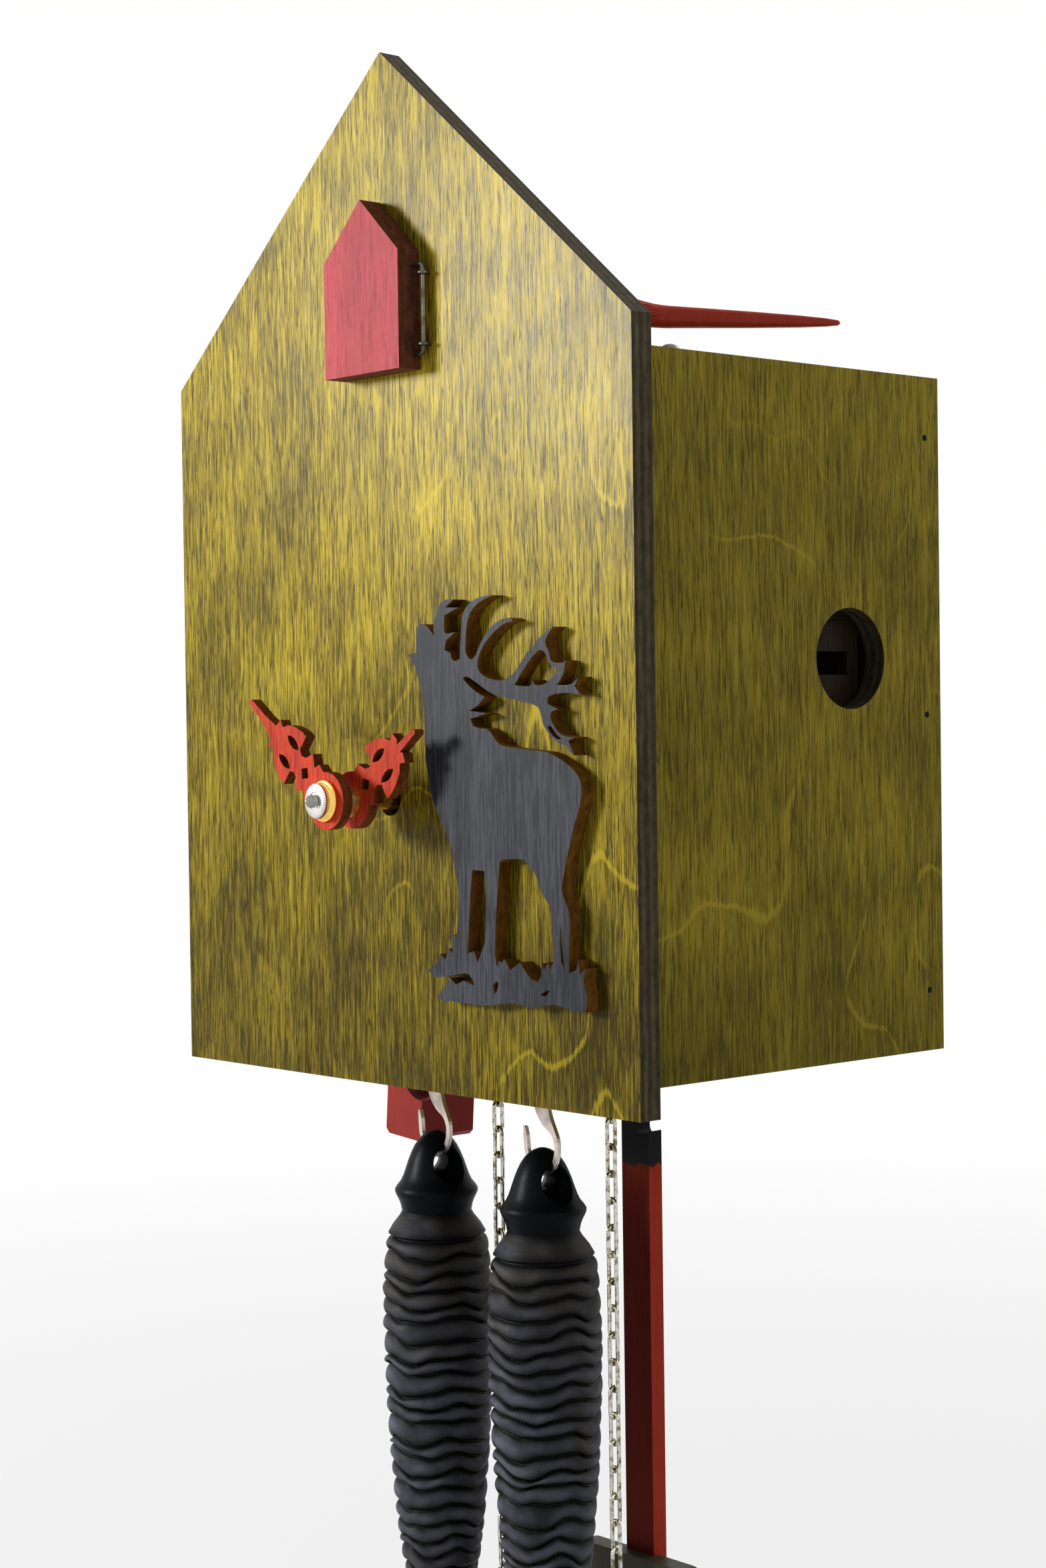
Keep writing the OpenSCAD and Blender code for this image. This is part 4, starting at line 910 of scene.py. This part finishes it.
@dataclass
class Fasteners:
    """The turned and threaded small parts that hold the hands, and the screws and brads of the case."""

    finishes: Finishes
    ridges: int = 42
    nut_depth: float = 1.7
    nut_bore: float = 1.62
    bush_bore: float = 1.6
    thread: float = 0.5
    root: float = 1.52
    crest: float = 0.16
    run_in: float = 0.3
    point: float = 1.2
    brad_heights: tuple[float, ...] = (0.09, 0.5, 0.91)

    def build(self) -> None:
        """Makes each small part at its seat."""
        self.nut()
        self.bush()
        self.stud()
        self.dome_screw()
        self.brads()
        self.back_screws()

    def nut(self) -> None:
        """Makes the knurled nut on the minute arbor."""
        low, high = map(Vector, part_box("hand_nut"))
        centre = Vector(((low.x + high.x) / 2, low.y, (low.z + high.z) / 2))
        radius = (high.x - low.x) / 2 / MM
        depth = self.nut_depth
        waves = [0.5 - 0.5 * cos(self.ridges * a) for a in circle(self.ridges * 6)]
        steps = [(0.25, 2.3, 0), (0, 2.1, 0), (0, 0.6, 0), (0.06, 0.48, 0), (0.3, 0.3, 0), (0.34, 0.04, 0.2)]
        steps += [(0.5, 0, 0.26), (depth - 0.4, 0, 0.26), (depth - 0.1, 0.3, 0), (depth, 0.5, 0)]
        outer = [around_y(centre, y, [radius - cut - knurl * w for w in waves]) for y, cut, knurl in steps]
        rear, front = (around_y(centre, y, [self.nut_bore] * len(waves)) for y in (depth, steps[0][0]))
        mesh = bmesh.new()
        loft(mesh, [rear, front, *outer, rear], closed=False)
        bmesh.ops.remove_doubles(mesh, verts=mesh.verts, dist=1e-7)
        add_piece("hand_nut_knurled", mesh, self.finishes.nickel, "minute", ["hand_nut"], smooth=35)

    def bush(self) -> None:
        """Makes the stepped brass bush between the nut and the minute hand."""
        low, high = map(Vector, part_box("hand_bush"))
        front = Vector(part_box("hand_nut")[0]).y / MM + self.nut_depth
        rear, flange = high.y / MM, low.y / MM + 0.6
        bore = self.bush_bore
        profile = [(front, bore), (front, 4.0), (front + 0.12, 4.25), (flange - 1.05, 4.75)]
        profile += [(flange - 0.95, 5.1), (flange - 0.8, 5.3), (flange - 0.15, 5.3), (flange, 5.15)]
        profile += [(flange, 3.0), (rear, 3.0), (rear, bore), (front, bore)]
        centre = Vector((0, 0, (low.z + high.z) / 2))
        mesh = bmesh.new()
        loft(mesh, [around_y(centre, y, [radius] * 72) for y, radius in profile], closed=False)
        bmesh.ops.remove_doubles(mesh, verts=mesh.verts, dist=1e-7)
        brass = self.finishes.brass_bright
        add_piece("hand_bush_turned", mesh, brass, "minute", ["hand_bush"], smooth=30)

    def stud(self) -> None:
        """Makes the thread on the arbor's front end."""
        low, high = map(Vector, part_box("minute_shaft"))
        nut = Vector(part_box("hand_nut")[0])
        centre = Vector((0, low.y, (low.z + high.z) / 2))
        length = (nut.y - low.y) / MM + 0.2 + self.point
        steps = int(length / self.thread * 8)
        mesh = bmesh.new()
        loft(mesh, [self.thread_ring(centre, length * k / steps - self.point) for k in range(steps + 1)])
        add_piece("arbor_thread", mesh, self.finishes.steel, "minute", smooth=50)

    def thread_ring(self, centre: Vector, along: float) -> list[Vector]:
        """Draws one ring of the thread, or of the point in front of it.

        Args:
            centre: The middle of the thread's front end.
            along: The distance behind it, in millimetres.

        Returns:
            The ring's points.
        """
        radii = []
        for angle in circle(24):
            ridge = 0.5 + 0.5 * cos(tau * (along / self.thread) - angle)
            rise = self.crest * ridge * min(1.0, along / self.run_in) if along > 0 else along
            radii.append(self.root + rise)
        return around_y(centre, along, radii)

    def dome_screw(self) -> None:
        """Makes the round-headed screw at the top of the right side."""
        low, high = map(Vector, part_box("side_right"))
        seat = Vector((high.x - 3.3 * MM, low.y + 15.5 * MM, high.z - 0.05 * MM))
        profile = [(0, 2.5), (0.35, 2.45), (0.8, 2.1), (1.2, 1.5), (1.45, 0.8), (1.5, 0.2)]
        mesh = bmesh.new()
        lathe(mesh, seat, Vector((0, 0, 1)), profile, 28)
        add_piece("case_screw", mesh, self.finishes.wire, "case")

    def brads(self) -> None:
        """Makes the small nail heads along the rear edge of each side."""
        profile = [(0, 0.9), (0.28, 0.95), (0.34, 0.7), (0.3, 0.1)]
        for side in Side:
            low, high = map(Vector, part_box(f"side_{side}"))
            face = high.x if side.outward > 0 else low.x
            mesh = bmesh.new()
            for share in self.brad_heights:
                height = low.z + (high.z - low.z) * share
                seat = Vector((face - side.outward * 0.3 * MM, high.y - 5.5 * MM, height))
                lathe(mesh, seat, Vector((side.outward, 0, 0)), profile, 16)
            add_piece(f"side_{side}_brads", mesh, self.finishes.smooth_iron, "case")

    def back_screws(self) -> None:
        """Makes the countersunk screws in the back panel's corners."""
        low, high = map(Vector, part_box("back_panel"))
        inset = 8 * MM
        profile = [(0, 1.4), (0.35, 2.6), (0.48, 2.7), (0.5, 2.4), (0.42, 0.4)]
        mesh = bmesh.new()
        for x in (low.x + inset, high.x - inset):
            for z in (low.z + inset, high.z - inset):
                lathe(mesh, Vector((x, high.y - 0.4 * MM, z)), Vector((0, 1, 0)), profile, 24)
        add_piece("back_screws", mesh, self.finishes.steel, "case")


@dataclass
class Case:
    """The house front, the box behind it and what is fixed on them."""

    finishes: Finishes

    def build(self) -> None:
        """Dresses the boards, the stag and the door."""
        dress(self.finishes.panel, "front_panel")
        dress(self.finishes.case, "side_left", "side_right")
        dress(self.finishes.decks, "top_board", "bottom_board")
        dress(self.finishes.back, "back_panel")
        dress(self.finishes.stag, "stag")
        dress(self.finishes.wire, "door_eyelets", "door_wire")
        dress(self.finishes.door, "door")
        soften(0.5, "front_panel", "side_left", "side_right")
        soften(0.35, "door")
        soften(0.25, "stag")


@dataclass
class Bird:
    """The carved bird on its swinging arm, with folded wings, an open beak and a long flat tail."""

    finishes: Finishes
    swing: float = 36.0
    beak_root: float = 8.4
    wing_span: Point = (21, 57)
    steps: int = 170
    sides: int = 96
    shape: tuple[Point, ...] = (
        (7.0, 3.2), (7.6, 4.2), (9, 5.1), (11, 5.75), (13, 5.95), (15, 5.9), (18, 5.45), (20, 5.35),
        (23, 6.0), (27, 7.1), (31, 7.8), (35, 7.9), (39, 6.8), (43, 5.0), (47, 3.75), (52, 3.3), (60, 3.0),
        (78, 2.35), (92, 1.7), (99, 1.2), (102.4, 0.75), (102.9, 0.3),
    )

    def build(self) -> None:
        """Dresses the arm, and carves the bird along the line of its CAD solid."""
        dress(self.finishes.steel, "bird_arbor", "bird_bracket")
        low, high = map(Vector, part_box("bird"))
        turn = radians(self.swing)
        self.along = Vector((sin(turn), cos(turn), 0.0))
        self.across = Vector((cos(turn), -sin(turn), 0.0))
        tail = Vector((high.x, high.y, (low.z + high.z) / 2))
        self.tip = tail - self.along * (high.y - low.y) / cos(turn)
        mesh = bmesh.new()
        first, last = self.shape[0][0], self.shape[-1][0]
        places = [first + (last - first) * k / self.steps for k in range(self.steps + 1)]
        loft(mesh, [self.ring(d) for d in places])
        add_piece("bird_carved", mesh, self.finishes.bird, "bird_on_arm", ["bird"], smooth=60)
        self.beak()
        self.eyes()

    def point(self, d: float, angle: float, wide: float, tall: float) -> Vector:
        """Returns a point at a distance behind the beak's tip, round the bird's axis, in millimetres."""
        out = self.across * wide * cos(angle) + Vector((0, 0, tall * sin(angle)))
        return self.tip + (self.along * d + out) * MM

    def ring(self, d: float) -> list[Vector]:
        """Draws one ring of the body.

        Args:
            d: The distance behind the beak's tip, in millimetres.

        Returns:
            The ring's points.
        """
        radius = between(self.shape, d)
        square = smoothstep(46, 58, d)
        drop = Vector((0, 0, -2.7 * smoothstep(34, 58, d) - 1.5 * max(0.0, d - 58) / 45)) * MM
        points = []
        for angle in circle(self.sides):
            corner = (abs(cos(angle)) ** 4 + abs(sin(angle)) ** 4) ** -0.25
            r = radius * (1 + (min(corner, 1.13) - 1) * square) + self.wing(d, angle)
            points.append(self.point(d, angle, r, r * (1 - 0.1 * square)) + drop)
        return points

    def wing(self, d: float, angle: float) -> float:
        """Shapes the folded wings.

        Args:
            d: The distance behind the beak's tip, in millimetres.
            angle: The direction round the body.

        Returns:
            How far the wing stands out there, in millimetres.
        """
        start, end = self.wing_span
        if not start < d < end:
            return 0.0
        side = abs(degrees(atan2(sin(angle), abs(cos(angle)))) - 12)
        reach = 44 * sin(pi * ((d - start) / (end - start)) ** 0.8) ** 0.5
        feathers = 0.5 + 0.5 * cos(tau * side / 14)
        out = 0.5 - 0.24 * feathers * smoothstep(32, 36, d)
        return smoothstep(reach, reach - 9, side) * out * smoothstep(end, 50, d)

    def beak(self) -> None:
        """Makes the two halves of the beak, a little open."""
        turns = [pi * i / 10 for i in range(11)]
        root = self.beak_root
        mesh = bmesh.new()
        for sign, reach in ((1, 0.0), (-1, 0.9)):
            rings = []
            for k in range(13):
                d = root + (reach + 0.05 - root) * k / 12
                share = max(0.03, (d - reach) / root) ** 0.75
                gape = (root - d) * 0.07 + 0.06
                outline = [(2.5 * share * cos(a), gape + 2.1 * share * sin(a)) for a in turns]
                outline += [(2.5 * share * x, gape) for x in (-0.5, 0.0, 0.5)]
                places = [self.along * d + self.across * x + Vector((0, 0, sign * z)) for x, z in outline]
                rings.append([self.tip + place * MM for place in places])
            loft(mesh, rings)
        add_piece("bird_beak", mesh, self.finishes.beak, "bird_on_arm", smooth=50)

    def eyes(self) -> None:
        """Makes the two bead eyes."""
        mesh = bmesh.new()
        for angle in (radians(24), radians(156)):
            seat = self.point(11.2, angle, 5.3, 5.3)
            out = self.point(11.2, angle, 6.3, 6.3) - seat
            lathe(mesh, seat, out, [(0, 1.05), (0.35, 1.02), (0.7, 0.85), (0.95, 0.55), (1.05, 0.15)], 20)
        add_piece("bird_eyes", mesh, self.finishes.bead, "bird_on_arm", smooth=60)


@dataclass
class Hands:
    """The two fretted hands, the arbor that carries them and their motion work."""

    finishes: Finishes

    def build(self) -> None:
        """Dresses the hands, their wheels and the arbor."""
        dress(self.finishes.hands, "minute_hand", "hour_hand")
        dress(self.finishes.brass, "hour_wheel", "minute_wheel")
        dress(self.finishes.nickel, "minute_shaft")
        soften(0.18, "minute_hand", "hour_hand")


@dataclass
class Movement:
    """The plates, trains and gong inside the case."""

    finishes: Finishes

    def build(self) -> None:
        """Dresses the inner parts."""
        dress(self.finishes.brass, "plate_front", "plate_rear", "plate_pillars", "pendulum_cock")
        dress(self.finishes.brass, "great_wheel", "centre_wheel", "third_wheel", "escape_wheel")
        dress(self.finishes.brass, "strike_wheel", "pin_wheel")
        dress(self.finishes.steel, "minute_post", "anchor", "fly", "shutoff_pin")
        dress(self.finishes.wire, "hammer")
        dress(self.finishes.gong, "gong")
        dress(self.finishes.iron, "gong_block")
        dress(self.finishes.deal, "movement_posts")


@dataclass
class Voice:
    """One of the two wooden whistles and the bellows on it."""

    finishes: Finishes
    side: Side
    board: float = 3.0
    folds: int = 8
    deep: float = 2.3

    def build(self) -> None:
        """Dresses the whistle and the bellows' top, and makes the rest."""
        dress(self.finishes.pipe, f"whistle_{self.side}")
        dress(self.finishes.deal, f"bellows_top_{self.side}")
        soften(0.4, f"whistle_{self.side}", f"bellows_top_{self.side}")
        self.bellows()
        self.lip()

    def bellows(self) -> None:
        """Makes the lower board, and the cloth folded inward between it and the lifting board."""
        low, high = map(Vector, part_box(f"bellows_cloth_{self.side}"))
        board = Vector((high.x, high.y, low.z + self.board * MM))
        mesh = bmesh.new()
        add_board(mesh, low, board, 0.3 * MM)
        base = f"bellows_base_{self.side}"
        add_piece(base, mesh, self.finishes.deal, "case", [f"bellows_cloth_{self.side}"])
        rings = []
        for k in range(self.folds + 1):
            inset = (0.5 + (self.deep if k % 2 else 0.0)) * MM
            rings.append(self.outline(low, high, inset, board.z + (high.z - board.z) * k / self.folds))
        mesh = bmesh.new()
        loft(mesh, rings, closed=False)
        area = sum(face.calc_area() for face in mesh.faces)
        slant = self.folds * hypot(self.deep * MM, (high.z - board.z) / self.folds)
        name = f"bellows_pleats_{self.side}"
        piece = add_piece(name, mesh, self.finishes.cloth, None, smooth=20)
        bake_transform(piece)
        area / slant

    @staticmethod
    def outline(low: Vector, high: Vector, inset: float, level: float) -> list[Vector]:
        """Draws a level rounded rectangle.

        Args:
            low: The lowest corner of its bounds.
            high: The highest corner.
            inset: Its distance inside them.
            level: Its height.

        Returns:
            Its points.
        """
        radius = 1.5 * MM
        points = []
        for corner, (sx, sy) in enumerate(((1, 1), (-1, 1), (-1, -1), (1, -1))):
            x = (high.x - inset - radius) if sx > 0 else (low.x + inset + radius)
            y = (high.y - inset - radius) if sy > 0 else (low.y + inset + radius)
            for step in range(5):
                a = pi / 2 * (corner + step / 4)
                points.append(Vector((x + radius * cos(a), y + radius * sin(a), level)))
        return points

    def lip(self) -> None:
        """Makes the wooden lip board over the whistle's mouth."""
        low, high = map(Vector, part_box(f"whistle_{self.side}"))
        out = self.side.outward
        face = high.x if out > 0 else low.x
        y = (low.y + high.y) / 2
        z = high.z - 14 * MM
        mesh = bmesh.new()
        near, far = sorted((face - out * 0.1 * MM, face + out * 0.45 * MM))
        add_board(mesh, Vector((near, y - 8 * MM, z)), Vector((far, y + 8 * MM, z + 8 * MM)), 0.15 * MM)
        add_piece(f"whistle_lip_{self.side}", mesh, self.finishes.pipe, "case", smooth=30)


@dataclass
class Drive:
    """The chains, their rings and hooks, and the two cone weights."""

    finishes: Finishes

    def build(self) -> None:
        """Dresses the chains and makes the weights."""
        for train in ("time", "strike"):
            dress(self.finishes.chain, f"{train}_chain", f"{train}_free_chain", f"{train}_ring")
            dress(self.finishes.hook, f"{train}_hook")
            ConeWeight(self.finishes, f"{train}_weight", f"{train}_load").build()


@dataclass
class Pendulum:
    """The rod, its leader and the sliding bob."""

    finishes: Finishes

    def build(self) -> None:
        """Dresses the pendulum and the shut-off lever beside it."""
        dress(self.finishes.rod, "pendulum_rod")
        dress(self.finishes.steel, "pendulum_leader", "bob_spring")
        dress(self.finishes.bob, "pendulum_bob")
        dress(self.finishes.lever, "shutoff_lever")
        soften(0.4, "pendulum_rod", "shutoff_lever")
        soften(0.8, "pendulum_bob")


@dataclass
class Studio:
    """The camera, the soft lamps, the floor and the pale surroundings."""

    azimuth: float = 48.513
    elevation: float = 1.291
    roll: float = -0.765
    eye: Place = (0.5434, -0.5523, -0.066)
    lens: float = 61.36
    floor_gap: float = 0.06
    soft: float = 0.17

    def build(self) -> None:
        """Sets the whole studio up."""
        self.camera()
        self.lamps()
        self.floor()
        self.world()
        bpy.context.scene.view_settings.view_transform = "Standard"

    def camera(self) -> None:
        """Places the camera."""
        data = bpy.data.cameras.new("view")
        data.sensor_fit = "VERTICAL"
        data.sensor_height = 36.0
        data.lens = self.lens
        data.clip_start = 0.02
        data.clip_end = 50.0
        a, e, r = (radians(v) for v in (self.azimuth, self.elevation, self.roll))
        ahead = Vector((-sin(a) * cos(e), cos(a) * cos(e), -sin(e)))
        right = Vector((cos(a), sin(a), 0.0))
        up = right.cross(ahead)
        across = right * cos(r) + up * sin(r)
        above = up * cos(r) - right * sin(r)
        piece = link("view", data)
        turn = Matrix((across, above, -ahead)).transposed().to_4x4()
        piece.matrix_world = Matrix.Translation(self.eye) @ turn
        bpy.context.scene.camera = piece

    def lamp(self, name: str, spot: Place, aim: Place, size: float, power: float) -> None:
        """Adds a square white softbox.

        Args:
            name: Its name.
            spot: Where it stands.
            aim: What it points at.
            size: The length of its side.
            power: Its power in watts.
        """
        data = bpy.data.lights.new(name, "AREA")
        data.shape = "SQUARE"
        data.size = size
        data.energy = power
        piece = link(name, data)
        way = Vector(aim) - Vector(spot)
        piece.matrix_world = Matrix.Translation(spot) @ way.to_track_quat("-Z", "Y").to_matrix().to_4x4()

    def lamps(self) -> None:
        """Adds the key, the fill and the rim."""
        self.lamp("key", (-0.98, -1.2, 0.29), (0.0, -0.1, -0.01), 0.32, 22.2)
        self.lamp("fill", (1.5, -0.1, 0.45), (0.0, -0.05, -0.05), 1.0, 2.4)
        self.lamp("rim", (0.4, 1.2, 0.9), (0.0, 0.0, 0.0), 0.8, 8.0)

    def floor(self) -> None:
        """Lays the floor, which shows white to the camera and keeps the shadow."""
        g = Graph(bpy.data.materials.new("floor_white"))
        paper = g.node("BsdfDiffuse", {}, {"Color": (0.82, 0.82, 0.81)})
        glow = g.node("Emission")
        away = (g.part(g.place(), Axis.X) ** 2.0 + g.part(g.place(), Axis.Y) ** 2.0) ** 0.5
        white = g.seen() * (0.7 + away.ease(0.2, 1.5) * 0.3)
        g.end(g.node("MixShader", {}, {0: white, 1: paper, 2: glow}))
        z = CAD_BOX[0][2] - self.floor_gap
        mesh = bmesh.new()
        corners = [mesh.verts.new((x, y, z)) for x, y in ((-9, -9), (9, -9), (9, 9), (-9, 9))]
        mesh.faces.new(corners)
        piece = link_mesh("floor", mesh, g.owner)

    def world(self) -> None:
        """Lights the room softly and shows it white."""
        world = bpy.data.worlds.new("room")
        bpy.context.scene.world = world
        g = Graph(world)
        soft = g.node("Background", {}, {"Color": (0.96, 0.98, 1.0), "Strength": self.soft})
        white = g.node("Background", {}, {"Color": (1.0, 1.0, 1.0)})
        g.end(g.node("MixShader", {}, {0: g.seen(), 1: soft, 2: white}))


def main() -> None:
    """Builds the clock's pieces in order, then the studio."""
    logging.basicConfig(level=logging.INFO, format="%(message)s")
    finishes = Finishes()
    for part in (Case, Bird, Hands, Movement):
        part(finishes).build()
    for side in Side:
        Voice(finishes, side).build()
    for part in (Drive, Pendulum, Fasteners):
        part(finishes).build()
    Studio().build()


if __name__ == "__main__":
    main()
